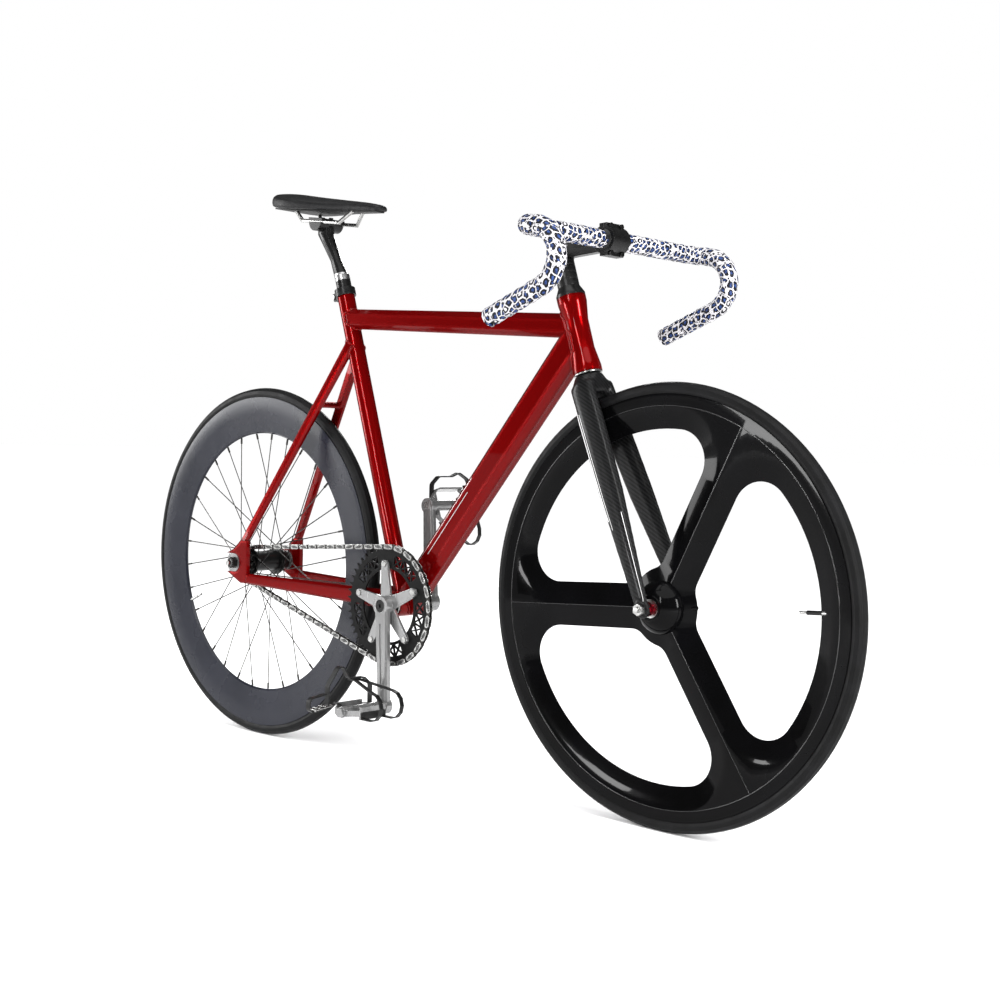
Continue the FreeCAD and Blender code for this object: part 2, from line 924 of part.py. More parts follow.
def chainring(phase):
    centre = bracket_at - LEFT * chain_line
    body = sprocket(ring_teeth, centre, phase, ring_thickness)
    reach = LEFT * overrun
    cuts = [rod(centre - reach * 2, centre + reach * 2, ring_inner_radius)]
    for angle in bolt_places():
        place = centre + direction(angle) * bolt_circle_radius
        cuts.append(rod(place - reach * 2, place + reach * 2, bolt_radius))
        middle = angle + 180 / bolt_count
        cuts.extend(ring_window(middle - ring_window_angle / 2, centre))
    return body.cut(cuts)


def chainring_bolts():
    bolts = []
    inner = bracket_at - LEFT * (chain_line - ring_thickness / 2)
    outer = bracket_at - LEFT * (chain_line + ring_thickness / 2 + spider_thickness)
    for angle in bolt_places():
        place = direction(angle) * bolt_circle_radius
        head = LEFT * bolt_head_height
        bolts.append(rod(place + inner + head, place + outer - head, bolt_radius))
    return bolts


def crank_bolts():
    bolts = []
    for side in (-1, 1):
        out = LEFT * side
        start = bracket_at + out * spindle_half_length
        end = start + out * crank_bolt_depth
        socket = rod(end - out * (crank_bolt_depth / 2), end + out * overrun, crank_bolt_socket)
        bolts.append(rod(start, end, crank_bolt_radius).cut(socket))
    return bolts


# Chain


def chain_run():
    """The chain's pitch line: unit normals of its upper and lower runs and the run's length."""
    distance = chain_centre_distance()
    lean = chain_lean(distance)
    along = (rear_axle_at - bracket_at).normalize()
    lift = Vector(along.z, 0, -along.x)
    upper = lift * math.cos(lean) + along * math.sin(lean)
    lower = lift * -math.cos(lean) + along * math.sin(lean)
    return upper, lower, distance * math.cos(lean), lean


def chain_points():
    """The pins of the closed chain, one at each pitch, starting where the upper run leaves the ring."""
    upper, lower, straight, lean = chain_run()
    big = pitch_radius(ring_teeth)
    small = pitch_radius(cog_teeth)
    cog_arc = cog_teeth * chain_pitch * (0.5 - lean / math.pi)
    back = (rear_axle_at + upper * small - bracket_at - upper * big).normalize()
    ahead = (bracket_at + lower * big - rear_axle_at - lower * small).normalize()
    points = []
    for index in range(chain_links()):
        place = index * chain_pitch
        if place < straight:
            point = bracket_at + upper * big + back * place
        elif place < straight + cog_arc:
            turn = (place - straight) / (cog_teeth * chain_pitch) * 2 * math.pi
            point = rear_axle_at + upper * (small * math.cos(turn)) + back * (small * math.sin(turn))
        elif place < 2 * straight + cog_arc:
            point = rear_axle_at + lower * small + ahead * (place - straight - cog_arc)
        else:
            turn = (place - 2 * straight - cog_arc) / (ring_teeth * chain_pitch) * 2 * math.pi
            point = bracket_at + lower * (big * math.cos(turn)) + ahead * (big * math.sin(turn))
        points.append(point - LEFT * chain_line)
    return points


def tooth_phase(points, centre, teeth):
    """The angle of a roller that lies on a toothed wheel."""
    radius = pitch_radius(teeth)
    reach = [abs(Vector(p.x - centre.x, 0, p.z - centre.z).Length - radius) for p in points]
    seated = points[reach.index(min(reach))]
    return math.atan2(seated.z - centre.z, seated.x - centre.x)


def link_plate(first, last, height, inner):
    """A pair of plates with rounded ends on either side of the chain line."""
    along = (last - first).normalize()
    rise = along.cross(LEFT)
    points = []
    for centre, ahead in ((first, -1), (last, 1)):
        for angle in ROUND_END:
            turn = math.radians(angle)
            shift = along * (ahead * math.cos(turn)) + rise * (ahead * math.sin(turn))
            points.append(centre + shift * (height / 2))
    plates = []
    for side in (-1, 1):
        start = LEFT * (side * inner)
        plates.append(prism([point + start for point in points], LEFT * (side * plate_thickness)))
    return plates


def roller(centre):
    size = 2 * roller_radius
    section = oval(centre - LEFT * (inner_plate_gap / 2), FORWARD, UP, size, size, roller_sides)
    return prism(section, LEFT * inner_plate_gap)


def chain(points):
    """Outer links, and inner links with their rollers, round the whole loop."""
    outer = []
    inner = []
    outer_start = inner_plate_gap / 2 + plate_thickness + plate_gap
    for index, point in enumerate(points):
        after = points[(index + 1) % len(points)]
        if index % 2:
            outer.extend(link_plate(point, after, outer_plate_height, outer_start))
        else:
            inner.extend(link_plate(point, after, inner_plate_height, inner_plate_gap / 2))
        inner.append(roller(point))
    return outer, inner


# Wheels


def tyre(centre):
    """A tubular tyre whose base lies in the rim's bed between the lips."""
    lip_half = rim_width / 2 - rim_lip_width
    rise = wheel_radius - rim_lip_radius
    crown_centre = (wheel_radius**2 - rim_lip_radius**2 - lip_half**2) / (2 * rise)
    crown_radius = wheel_radius - crown_centre
    start = math.atan2(lip_half, rim_lip_radius - crown_centre)
    profile = [(rim_bed_radius, -tyre_base_width / 2), (rim_bed_radius, tyre_base_width / 2)]
    for step in range(tyre_crown_steps + 1):
        turn = start * (1 - 2 * step / tyre_crown_steps)
        profile.append((crown_centre + crown_radius * math.cos(turn), crown_radius * math.sin(turn)))
    return turned(profile, centre)


def rim_outside(depth, nose_width, nose_depth):
    """A rim section from its lips down to a narrow nose."""
    half = rim_width / 2
    lip_half = half - rim_lip_width
    track = rim_lip_radius - brake_track
    nose = rim_lip_radius - depth
    return [
        (rim_bed_radius, -tyre_base_width / 2),
        (rim_lip_radius, -lip_half),
        (rim_lip_radius, -half),
        (track, -half),
        (nose + nose_depth, -nose_width / 2),
        (nose, 0),
        (nose + nose_depth, nose_width / 2),
        (track, half),
        (rim_lip_radius, half),
        (rim_lip_radius, lip_half),
        (rim_bed_radius, tyre_base_width / 2),
    ]


def valve(centre, angle, rim_depth):
    """A valve stem that stands inwards from the rim's bed, with a narrow tip."""
    along = direction(angle)
    start = centre + along * rim_bed_radius
    foot = centre + along * (rim_lip_radius - rim_depth - valve_length / 2)
    end = foot - along * valve_tip_length
    return rod(start, foot, valve_radius).fuse(rod(foot, end, valve_tip_radius))


def valve_hole(centre, angle):
    along = direction(angle)
    return rod(centre, centre + along * (rim_bed_radius + overrun), valve_radius)


def rear_rim():
    profile = rim_outside(rear_rim_depth, rear_rim_nose_width, rear_rim_nose_depth)
    return turned(profile, rear_axle_at).cut(valve_hole(rear_axle_at, rear_valve_angle))


def opening_outline(centre, angle, growth, height):
    """The rounded opening between two spokes, grown by a distance, at a height to the left."""
    rim_radius = rim_lip_radius - front_rim_depth + growth
    hub_radius = front_hub_neck_radius - growth
    offset = front_spoke_width / 2 - growth
    rim_fillet = front_opening_rim_fillet + growth
    hub_fillet = front_opening_hub_fillet + growth
    half_turn = 180 / front_spoke_count
    origin = centre + LEFT * height
    sides = []
    for sign in (-1, 1):
        along = direction(angle + sign * half_turn)
        inward = direction(angle + sign * (half_turn - 90))
        rim_reach = math.sqrt((rim_radius - rim_fillet) ** 2 - (offset + rim_fillet) ** 2)
        hub_reach = math.sqrt((hub_radius + hub_fillet) ** 2 - (offset + hub_fillet) ** 2)
        rim_middle = along * rim_reach + inward * (offset + rim_fillet)
        hub_middle = along * hub_reach + inward * (offset + hub_fillet)
        on_rim = rim_middle * (rim_radius / rim_middle.Length)
        on_hub = hub_middle * (hub_radius / hub_middle.Length)
        rim_bulge = ((on_rim - rim_middle).normalize() - inward).normalize()
        hub_bulge = ((on_hub - hub_middle).normalize() - inward).normalize()
        sides.append({
            "rim": on_rim,
            "rim_mid": rim_middle + rim_bulge * rim_fillet,
            "rim_line": along * rim_reach + inward * offset,
            "hub_line": along * hub_reach + inward * offset,
            "hub_mid": hub_middle + hub_bulge * hub_fillet,
            "hub": on_hub,
        })
    first, last = sides
    middle = direction(angle)

    def arc(a, b, c):
        return Part.Arc(origin + a, origin + b, origin + c).toShape()

    def line(a, b):
        return Part.LineSegment(origin + a, origin + b).toShape()

    return Part.Wire([
        arc(first["rim"], middle * rim_radius, last["rim"]),
        arc(last["rim"], last["rim_mid"], last["rim_line"]),
        line(last["rim_line"], last["hub_line"]),
        arc(last["hub_line"], last["hub_mid"], last["hub"]),
        arc(last["hub"], middle * hub_radius, first["hub"]),
        arc(first["hub"], first["hub_mid"], first["hub_line"]),
        line(first["hub_line"], first["rim_line"]),
        arc(first["rim_line"], first["rim_mid"], first["rim"]),
    ])


def front_wheel_shell():
    """Three broad spokes with bevelled faces, a rim and a domed hub in one moulding."""
    half = rim_width / 2
    lip_half = half - rim_lip_width
    hub_half = front_hub_width / 2
    seat = hub_half - hub_bearing_width
    disc = turned([
        (0, -half),
        (rim_lip_radius, -half),
        (rim_lip_radius, -lip_half),
        (rim_bed_radius, -tyre_base_width / 2),
        (rim_bed_radius, tyre_base_width / 2),
        (rim_lip_radius, lip_half),
        (rim_lip_radius, half),
        (0, half),
    ], front_axle_at)
    for index in range(front_spoke_count):
        angle = front_spoke_angle + (index + 0.5) * 360 / front_spoke_count
        middle = opening_outline(front_axle_at, angle, 0, 0)
        for side in (-1, 1):
            face = opening_outline(front_axle_at, angle, front_spoke_bevel, side * half)
            disc = disc.cut(Part.makeLoft([middle, face], True, True))
    hub = turned([
        (0, -hub_half),
        (front_hub_dome_radius, -hub_half),
        (front_hub_radius - front_hub_dome_step, -half - front_hub_dome_step),
        (front_hub_radius, -half),
        (front_hub_radius, half),
        (front_hub_radius - front_hub_dome_step, half + front_hub_dome_step),
        (front_hub_dome_radius, hub_half),
        (0, hub_half),
    ], front_axle_at)
    wheel = disc.fuse(hub)
    ends = LEFT * (hub_half + overrun)
    wheel = wheel.cut(rod(front_axle_at - ends, front_axle_at + ends, front_cone_radius + side_clearance))
    for side in (-1, 1):
        seat_start = front_axle_at + LEFT * (side * seat)
        seat_end = front_axle_at + LEFT * (side * (hub_half + overrun))
        wheel = wheel.cut(rod(seat_start, seat_end, hub_bearing_radius))
    return wheel.cut(valve_hole(front_axle_at, front_valve_angle))


def hub_bearings(centre, places, bore):
    """A cartridge bearing at each place, counted to the left from the wheel's middle to its outer face."""
    bearings = []
    for outer in places:
        inner = outer - math.copysign(hub_bearing_width, outer)
        bearings.append(tube(centre + LEFT * inner, centre + LEFT * outer, hub_bearing_radius, bore))
    return bearings


def front_hub_bearings():
    half = front_hub_width / 2
    return hub_bearings(front_axle_at, (-half, half), front_axle_radius + run_clearance)


def hexagon_nut(start, end, radius, bore):
    along = end - start
    section = oval(start, FORWARD, UP, 2 * radius, 2 * radius, 6)
    reach = (end - start).normalize() * overrun
    return prism(section, along).cut(rod(start - reach, end + reach, bore))


def front_axle():
    """A plain axle whose ends are turned down outside the nuts."""
    half = front_axle_length / 2
    nut = front_dropout_spacing / 2 + fork_tip_thickness + front_nut_width
    return turned([
        (0, -half),
        (front_axle_end_radius, -half),
        (front_axle_end_radius, -nut),
        (front_axle_radius, -nut),
        (front_axle_radius, nut),
        (front_axle_end_radius, nut),
        (front_axle_end_radius, half),
        (0, half),
    ], front_axle_at)


def front_axle_cones():
    start = front_hub_width / 2 + side_clearance
    end = front_dropout_spacing / 2
    step = end - front_cone_flange_width
    cone = turned([
        (front_axle_radius, start),
        (front_cone_radius, start),
        (front_cone_radius, step),
        (front_cone_flange_radius, step),
        (front_cone_flange_radius, end),
        (front_axle_radius, end),
    ], front_axle_at)
    return both_sides(cone)


def front_axle_nuts():
    start = LEFT * (front_dropout_spacing / 2 + fork_tip_thickness)
    end = start + LEFT * front_nut_width
    nut = hexagon_nut(front_axle_at + start, front_axle_at + end, front_nut_radius, front_axle_radius)
    return both_sides(nut)


def rear_hub_shell():
    right = -rear_hub_right_end
    left = rear_hub_left_end
    cog_face = -(chain_line - cog_thickness / 2)
    flange_r = -rear_flange_right
    flange_l = rear_flange_left
    shell = turned([
        (hub_bearing_radius, right),
        (cog_thread_radius, right),
        (cog_thread_radius, cog_face),
        (rear_hub_waist_radius, cog_face),
        (rear_hub_waist_radius, flange_r - rear_flange_width / 2),
        (rear_flange_radius, flange_r - rear_flange_width / 2),
        (rear_flange_radius, flange_r + rear_flange_width / 2),
        (rear_hub_waist_radius, flange_r + rear_flange_width / 2),
        (rear_hub_waist_radius, flange_l - rear_flange_width / 2),
        (rear_flange_radius, flange_l - rear_flange_width / 2),
        (rear_flange_radius, flange_l + rear_flange_width / 2),
        (rear_hub_end_radius, flange_l + rear_flange_width / 2),
        (rear_hub_end_radius, left),
        (hub_bearing_radius, left),
        (hub_bearing_radius, left - hub_bearing_width),
        (rear_axle_shoulder_radius, left - hub_bearing_width),
        (rear_axle_shoulder_radius, right + hub_bearing_width),
        (hub_bearing_radius, right + hub_bearing_width),
    ], rear_axle_at)
    return shell


def rear_hub_bearings():
    places = (-rear_hub_right_end, rear_hub_left_end)
    return hub_bearings(rear_axle_at, places, rear_axle_radius + run_clearance)


def rear_axle():
    """An axle with shoulders inside the track ends, turned down outside the nuts."""
    half = rear_axle_length / 2
    face = rear_dropout_spacing / 2
    nut = face + insert_thickness + rear_nut_width
    right = -(rear_hub_right_end + side_clearance)
    left = rear_hub_left_end + side_clearance
    return turned([
        (0, -half),
        (rear_axle_end_radius, -half),
        (rear_axle_end_radius, -nut),
        (rear_axle_radius, -nut),
        (rear_axle_radius, -face),
        (rear_axle_shoulder_radius, -face),
        (rear_axle_shoulder_radius, right),
        (rear_axle_radius, right),
        (rear_axle_radius, left),
        (rear_axle_shoulder_radius, left),
        (rear_axle_shoulder_radius, face),
        (rear_axle_radius, face),
        (rear_axle_radius, nut),
        (rear_axle_end_radius, nut),
        (rear_axle_end_radius, half),
        (0, half),
    ], rear_axle_at)


def rear_axle_nuts():
    start = LEFT * (rear_dropout_spacing / 2 + insert_thickness)
    end = start + LEFT * rear_nut_width
    nut = hexagon_nut(rear_axle_at + start, rear_axle_at + end, rear_nut_radius, rear_axle_radius)
    return both_sides(nut)


def bladed(start, end, blade, thickness):
    """A flattened six-sided bar between two points."""
    along = (end - start).normalize()
    across = along.cross(LEFT).normalize()
    side = along.cross(across)
    return prism(oval(start, across, side, blade, thickness, 6), end - start)


def flange_run(foot, head):
    """Length of a spoke that lies over the flange, from its hole to the flange's edge."""
    lean = foot.dot((head - foot).normalize())
    edge = rear_flange_radius + rear_spoke_blade
    return math.sqrt(lean**2 + edge**2 - rear_spoke_hole_radius**2) - lean


def rear_spokes():
    """Crossed spokes from both flanges, leading and trailing on opposite faces, each with its nipple."""
    pieces = []
    per_side = rear_spoke_count // 2
    nose = rim_lip_radius - rear_rim_depth
    step = 360 / per_side
    for side in (-1, 1):
        flange = rear_flange_left if side > 0 else -rear_flange_right
        for index in range(per_side):
            lead = 1 if index % 2 else -1
            hub_angle = index * step + (step / 4) * side
            rim_angle = hub_angle + lead * rear_spoke_cross * step
            foot = direction(hub_angle) * rear_spoke_hole_radius
            head = direction(rim_angle) * nose
            face = flange + lead * (rear_flange_width + rear_spoke_thickness) / 2
            if lead == side:
                face += lead * flange_run(foot, head) * abs(flange) / (head - foot).Length
            start = rear_axle_at + foot + LEFT * face
            along = (rear_axle_at + head - start).normalize()
            end = rear_axle_at + head - along * rear_nipple_gap
            meet = end - along * rear_nipple_length
            pieces.append(bladed(start, meet, rear_spoke_blade, rear_spoke_thickness))
            pieces.append(bladed(meet, end, 2 * rear_nipple_radius, 2 * rear_nipple_radius))
    return pieces


def rear_cog(phase):
    centre = rear_axle_at - LEFT * chain_line
    body = sprocket(cog_teeth, centre, phase, cog_thickness)
    reach = LEFT * (cog_thickness + overrun)
    return body.cut(rod(centre - reach, centre + reach, cog_thread_radius))


def cog_lockring():
    start = rear_axle_at - LEFT * (chain_line + cog_thickness / 2)
    end = start - LEFT * lockring_width
    ring = tube(start, end, lockring_radius, cog_thread_radius)
    reach = LEFT * overrun
    for index in range(lockring_notches):
        along = direction(index * 360 / lockring_notches)
        place = along * lockring_radius
        ring = ring.cut(rod(place + start + reach, place + end - reach, lockring_notch / 2))
    return ring


# Steering parts


def fork_blade():
    """A flattened blade that tapers from the crown to the axle."""
    root = steer_point(crown_reach - headset_gap - crown_race_height - fork_crown_depth / 2)
    root = root - LEFT * ((fork_crown_width - fork_blade_root_width) / 2)
    tip = front_axle_at - LEFT * ((front_dropout_spacing + fork_tip_thickness) / 2)
    along = (tip - root).normalize()
    ahead = LEFT.cross(along).normalize()
    ahead = ahead if ahead.x > 0 else ahead * -1
    middle = root + (tip - root) * fork_blade_mid_share
    middle.y = -fork_blade_mid_y
    sizes = [
        (root, fork_blade_root_width, fork_blade_root_length),
        (middle, fork_blade_mid_width, fork_blade_mid_length),
        (tip, fork_blade_tip_width, fork_blade_tip_length),
    ]
    return loft([oval(place, LEFT, ahead, width, length, fork_blade_sides) for place, width, length in sizes])


def fork():
    top = crown_reach - headset_gap - crown_race_height
    sizes = [
        (top, 2 * fork_crown_radius, 2 * fork_crown_radius),
        (top - fork_crown_depth / 2, fork_crown_width, fork_crown_length),
        (top - fork_crown_depth, fork_crown_width - fork_crown_draw, fork_crown_length - fork_crown_draw),
    ]
    whole = loft([
        oval(steer_point(place), LEFT, steer_normal, width, length, fork_blade_sides)
        for place, width, length in sizes
    ])
    inner = LEFT * (front_dropout_spacing / 2)
    outer = inner + LEFT * fork_tip_thickness
    for side in (-1, 1):
        blade = fork_blade() if side < 0 else mirrored(fork_blade())
        tip = rod(front_axle_at + inner * side, front_axle_at + outer * side, fork_tip_radius)
        whole = whole.fuse(blade).fuse(tip)
    steerer_end = steer_point(stem_high - steerer_end_gap)
    whole = whole.fuse(rod(steer_point(top - steerer_end_gap), steerer_end, steerer_radius))
    whole = whole.cut(rod(steer_point(top), steerer_end + steer_axis * overrun, steerer_bore_radius))
    room = LEFT * (tyre_width / 2 + tyre_room)
    whole = whole.cut(rod(front_axle_at - room, front_axle_at + room, wheel_radius + tyre_room))
    face = LEFT * (front_dropout_spacing / 2)
    whole = whole.cut(rod(front_axle_at - face, front_axle_at + face, fork_tip_radius + tyre_room))
    reach = LEFT * front_axle_length
    return whole.cut(rod(front_axle_at - reach, front_axle_at + reach, front_axle_radius))


def crown_race():
    high = crown_reach - headset_gap
    return tube(steer_point(high - crown_race_height), steer_point(high), crown_race_radius, steerer_radius)


def headset_top_cover():
    low = head_high + headset_gap
    return spin([
        (steerer_radius, low),
        (head_tube_end_radius, low),
        (head_tube_end_radius, low + headset_cover_lip),
        (headset_cover_top_radius, low + headset_cover_height),
        (steerer_radius, low + headset_cover_height),
    ], steer_foot, steer_axis, steer_normal)


def headset_spacers():
    spacers = []
    for index in range(spacer_count):
        low = spacers_low + index * spacer_height
        high = low + spacer_height
        spacers.append(spin([
            (steerer_radius, low),
            (spacer_radius - spacer_edge, low),
            (spacer_radius, low + spacer_edge),
            (spacer_radius, high - spacer_edge),
            (spacer_radius - spacer_edge, high),
            (steerer_radius, high),
        ], steer_foot, steer_axis, steer_normal))
    return spacers


def stem_forward():
    fall = math.radians(stem_fall)
    return steer_normal * math.cos(fall) - steer_axis * math.sin(fall)


def bar_centre():
    return steer_point((stem_low + stem_high) / 2) + stem_forward() * stem_length


def bar_clamp_outside():
    half = LEFT * (bar_clamp_width / 2)
    centre = bar_centre()
    ahead = stem_forward()
    rise = ahead.cross(LEFT)
    barrel = rod(centre - half, centre + half, bar_clamp_radius + bar_clamp_wall)
    tall = rise * (bar_clamp_radius + bar_clamp_wall + stem_bolt_radius)
    deep = ahead * bar_clamp_ear
    block = prism([centre - half + tall + deep, centre - half - tall + deep, centre - half - tall - deep,
                   centre - half + tall - deep], half * 2)
    return barrel.fuse(block)


def clamp_half_space(sign):
    """The half of the clamp's space ahead (1) or behind (-1) of the split."""
    ahead = stem_forward()
    rise = ahead.cross(LEFT)
    size = bar_clamp_width
    start = bar_centre() + ahead * (sign * bar_clamp_split / 2) - LEFT * size
    high = start + rise * size
    low = start - rise * size
    far = ahead * (sign * size)
    return prism([high, low, low + far, high + far], LEFT * (2 * size))


def bar_bore():
    half = LEFT * bar_clamp_width
    return rod(bar_centre() - half, bar_centre() + half, bar_clamp_radius + run_clearance)


def stem_bolt_places():
    """Places of the four bolts of the faceplate, above and below the bar."""
    rise = stem_forward().cross(LEFT) * (bar_clamp_radius + bar_clamp_wall)
    places = []
    for up in (-1, 1):
        for left in (-1, 1):
            places.append(bar_centre() + rise * up + LEFT * (left * stem_bolt_spacing / 2))
    return places


def stem():
    clamp = rod(steer_point(stem_low), steer_point(stem_high), stem_clamp_radius)
    root = steer_point((stem_low + stem_high) / 2)
    ahead = stem_forward()
    rise = ahead.cross(LEFT)
    rise = rise if rise.z > 0 else rise * -1
    corner = stem_root_width * stem_corner_share
    end = bar_centre() - ahead * (bar_clamp_ear / 2)
    extension = loft([
        faceted(root, LEFT, rise, stem_root_width, stem_root_height, corner),
        faceted(end, LEFT, rise, stem_tip_width, stem_tip_height, corner),
    ])
    head = bar_clamp_outside().common(clamp_half_space(-1))
    whole = clamp.fuse(extension).fuse(head).cut(bar_bore()).cut(clamp_half_space(1))
    reach = steer_axis * overrun
    below = steer_point(stem_low - stem_clamp_height)
    whole = whole.cut(rod(below, steer_point(stem_low), stem_clamp_radius))
    return whole.cut(rod(steer_point(stem_low) - reach, steer_point(stem_high) + reach, steerer_radius))


def faceplate_heads(length):
    """The socket heads of the faceplate's four bolts, seated on its ears."""
    ahead = stem_forward()
    starts = [place + ahead * bar_clamp_ear for place in stem_bolt_places()]
    return [rod(start, start + ahead * length, stem_bolt_radius) for start in starts]


def stem_faceplate():
    plate = bar_clamp_outside().common(clamp_half_space(1)).cut(bar_bore())
    return plate.cut(faceplate_heads(bar_clamp_radius + bar_clamp_wall))


def stem_bolts():
    """Socket heads on the faceplate and the bolt of the top cap."""
    bolts = faceplate_heads(stem_bolt_head)
    cap_top = stem_high + top_cap_height
    bolts.append(rod(steer_point(cap_top), steer_point(cap_top + top_cap_bolt_head), top_cap_bolt_radius))
    return bolts


def top_cap():
    high = stem_high + top_cap_height
    return spin([
        (0, stem_high),
        (stem_clamp_radius, stem_high),
        (stem_clamp_radius, high - top_cap_edge),
        (stem_clamp_radius - top_cap_edge, high),
        (0, high),
    ], steer_foot, steer_axis, steer_normal)


# Handlebar


def bar_path(side):
    """Places along one half of the bar: centre, tangent and the two directions of its section."""
    out = LEFT * side
    ramp = direction(-bar_ramp_angle)
    plane = direction(90 - bar_ramp_angle)
    centre = bar_centre()
    stations = [(centre + out * bar_taper_end, out, ramp, plane)]
    corner = bar_half_width - bar_bend_radius
    for step in range(bar_bend_steps + 1):
        turn = math.pi / 2 * step / bar_bend_steps
        place = centre + out * (corner + bar_bend_radius * math.sin(turn))
        place = place + ramp * (bar_bend_radius * (1 - math.cos(turn)))
        tangent = out * math.cos(turn) + ramp * math.sin(turn)
        across = ramp * math.cos(turn) - out * math.sin(turn)
        stations.append((place, tangent, across, plane))
    hook_start = centre + out * bar_half_width + ramp * (bar_bend_radius + bar_ramp_length)
    hook_centre = hook_start - plane * bar_hook_radius
    for step in range(bar_hook_steps + 1):
        angle = bar_ramp_angle + (bar_hook_end - bar_ramp_angle) * step / bar_hook_steps
        outward = direction(90 - angle)
        stations.append((hook_centre + outward * bar_hook_radius, direction(-angle), out * -1, outward))
    last = stations[-1]
    stations.append((last[0] + last[1] * bar_drop_length, last[1], last[2], last[3]))
    return stations


def swept(stations, radius):
    return loft([oval(place, a, b, 2 * radius, 2 * radius, bar_sides) for place, _, a, b in stations])


def handlebar():
    centre = bar_centre()
    sleeve = turned([
        (0, -bar_taper_end),
        (bar_radius, -bar_taper_end),
        (bar_clamp_radius, -bar_sleeve_half),
        (bar_clamp_radius, bar_sleeve_half),
        (bar_radius, bar_taper_end),
        (0, bar_taper_end),
    ], centre)
    return sleeve.fuse(swept(bar_path(1), bar_radius)).fuse(swept(bar_path(-1), bar_radius))


def bar_tape(side):
    stations = bar_path(side)
    outer = swept(stations, bar_radius + tape_thickness)
    return outer.cut(swept(stations, bar_radius))


def bar_end_plugs():
    plugs = []
    for side in (-1, 1):
        place, tangent, across, plane = bar_path(side)[-1]
        plugs.append(rod(place, place + tangent * plug_length, plug_radius))
    return plugs


# Seat


def seatpost():
    """A round post that narrows to a set-back head under the saddle's cradle."""
    round_end = seat_tube_length + post_round
    body = rod(seat_point(seat_tube_length - post_insert), seat_point(round_end), post_radius)
    head = saddle_pivot - UP * post_head_drop
    neck = seat_point(round_end) + (head - seat_point(round_end)) * post_neck_share
    foot = seat_point(round_end - post_band_height)
    horn = saddle_pivot - UP * post_horn_drop
    behind = FORWARD * -1
    upper = loft([
        oval(foot, LEFT, seat_back, 2 * post_radius, 2 * post_radius, bar_sides),
        oval(neck, LEFT, seat_back, post_neck_width, post_neck_depth, bar_sides),
        oval(head, LEFT, behind, post_head_width, post_head_depth, bar_sides),
        oval(horn, LEFT, behind, post_head_width, post_head_depth, bar_sides),
    ])
    whole = body.fuse(upper)
    reach = LEFT * cradle_half_length
    return whole.cut(rod(saddle_pivot - reach, saddle_pivot + reach, cradle_radius + run_clearance))


def clamp_slab(low, high):
    """A block of the saddle clamp between two heights above the pivot."""
    half = clamp_plate_length / 2
    side = -cradle_half_length
    corners = [(half, low), (half, high), (-half, high), (-half, low)]
    return prism([saddle_point(a, side, h) for a, h in corners], LEFT * (2 * cradle_half_length))


def rail_path(side):
    corners = [
        (rail_front_end, rail_front_end_y, rail_end_rise),
        (rail_front, rail_half_spacing, 0),
        (rail_front - rail_bend, rail_half_spacing, 0),
        (rail_rear + rail_bend, rail_half_spacing, 0),
        (rail_rear, rail_half_spacing, 0),
        (rail_rear_end, rail_rear_end_y, rail_end_rise),
    ]
    return [saddle_point(a, side * y, h) for a, y, h in corners]


def mitred(points, radius, sides):
    """A bent bar of constant section with mitred corners."""
    sections = []
    count = len(points)
    for index, place in enumerate(points):
        before = (place - points[index - 1]).normalize() if index else None
        after = (points[index + 1] - place).normalize() if index < count - 1 else None
        tangent = (before or after) + (after or before)
        tangent.normalize()
        across = LEFT.cross(tangent).normalize()
        side = tangent.cross(across)
        stretch = 1 / abs(tangent.dot(after or before))
        sections.append(oval(place, side, across, 2 * radius, 2 * radius * stretch, sides))
    return loft(sections)


def saddle_rails(base, cover):
    """Two bent rails whose ends stop at the underside of the saddle's base."""
    rails = [mitred(rail_path(side), rail_radius, rail_sides) for side in (-1, 1)]
    return [largest(rail.cut(base).cut(cover)) for rail in rails]


def rail_bores(clearance):
    bores = []
    for side in (-1, 1):
        start = saddle_point(-clamp_plate_length, side * rail_half_spacing, 0)
        end = saddle_point(clamp_plate_length, side * rail_half_spacing, 0)
        bores.append(rod(start, end, rail_radius + clearance))
    return bores


def saddle_clamp():
    """Cradle below the rails, plate above them, and two bolts."""
    reach = LEFT * cradle_half_length
    barrel = rod(saddle_pivot - reach, saddle_pivot + reach, cradle_radius)
    cradle = barrel.common(clamp_slab(-2 * cradle_radius, -cradle_rail_drop))
    plate = clamp_slab(cradle_rail_drop, clamp_plate_height)
    bores = rail_bores(run_clearance)
    pieces = [cradle.cut(bores), plate.cut(bores)]
    for side in (-1, 1):
        place = side * clamp_bolt_spacing / 2
        start = saddle_point(place, 0, -cradle_rail_drop)
        end = saddle_point(place, 0, clamp_plate_height)
        pieces[1] = pieces[1].cut(rod(start, end + saddle_up * overrun, clamp_bolt_radius))
        head = rod(end, end + saddle_up * clamp_bolt_head_height, clamp_bolt_head_radius)
        pieces.append(rod(start, end, clamp_bolt_radius).fuse(head))
    return pieces


# Stations of the saddle from nose to tail: place along it, half width, top and skirt, as shares of its sizes
saddle_station_shares = [
    (1.0, 0.14, 0.71, 1.2),
    (0.95, 0.27, 0.83, 1.12),
    (0.7, 0.34, 0.9, 1.06),
    (0.4, 0.42, 0.92, 0.98),
    (0.15, 0.64, 0.94, 0.92),
    (-0.2, 0.88, 0.99, 0.84),
    (-0.55, 1.0, 1.06, 0.78),
    (-0.85, 0.88, 1.1, 0.84),
    (-1.0, 0.55, 1.06, 1.2),
]
saddle_edge_share = 0.45
saddle_draw_share = 0.88


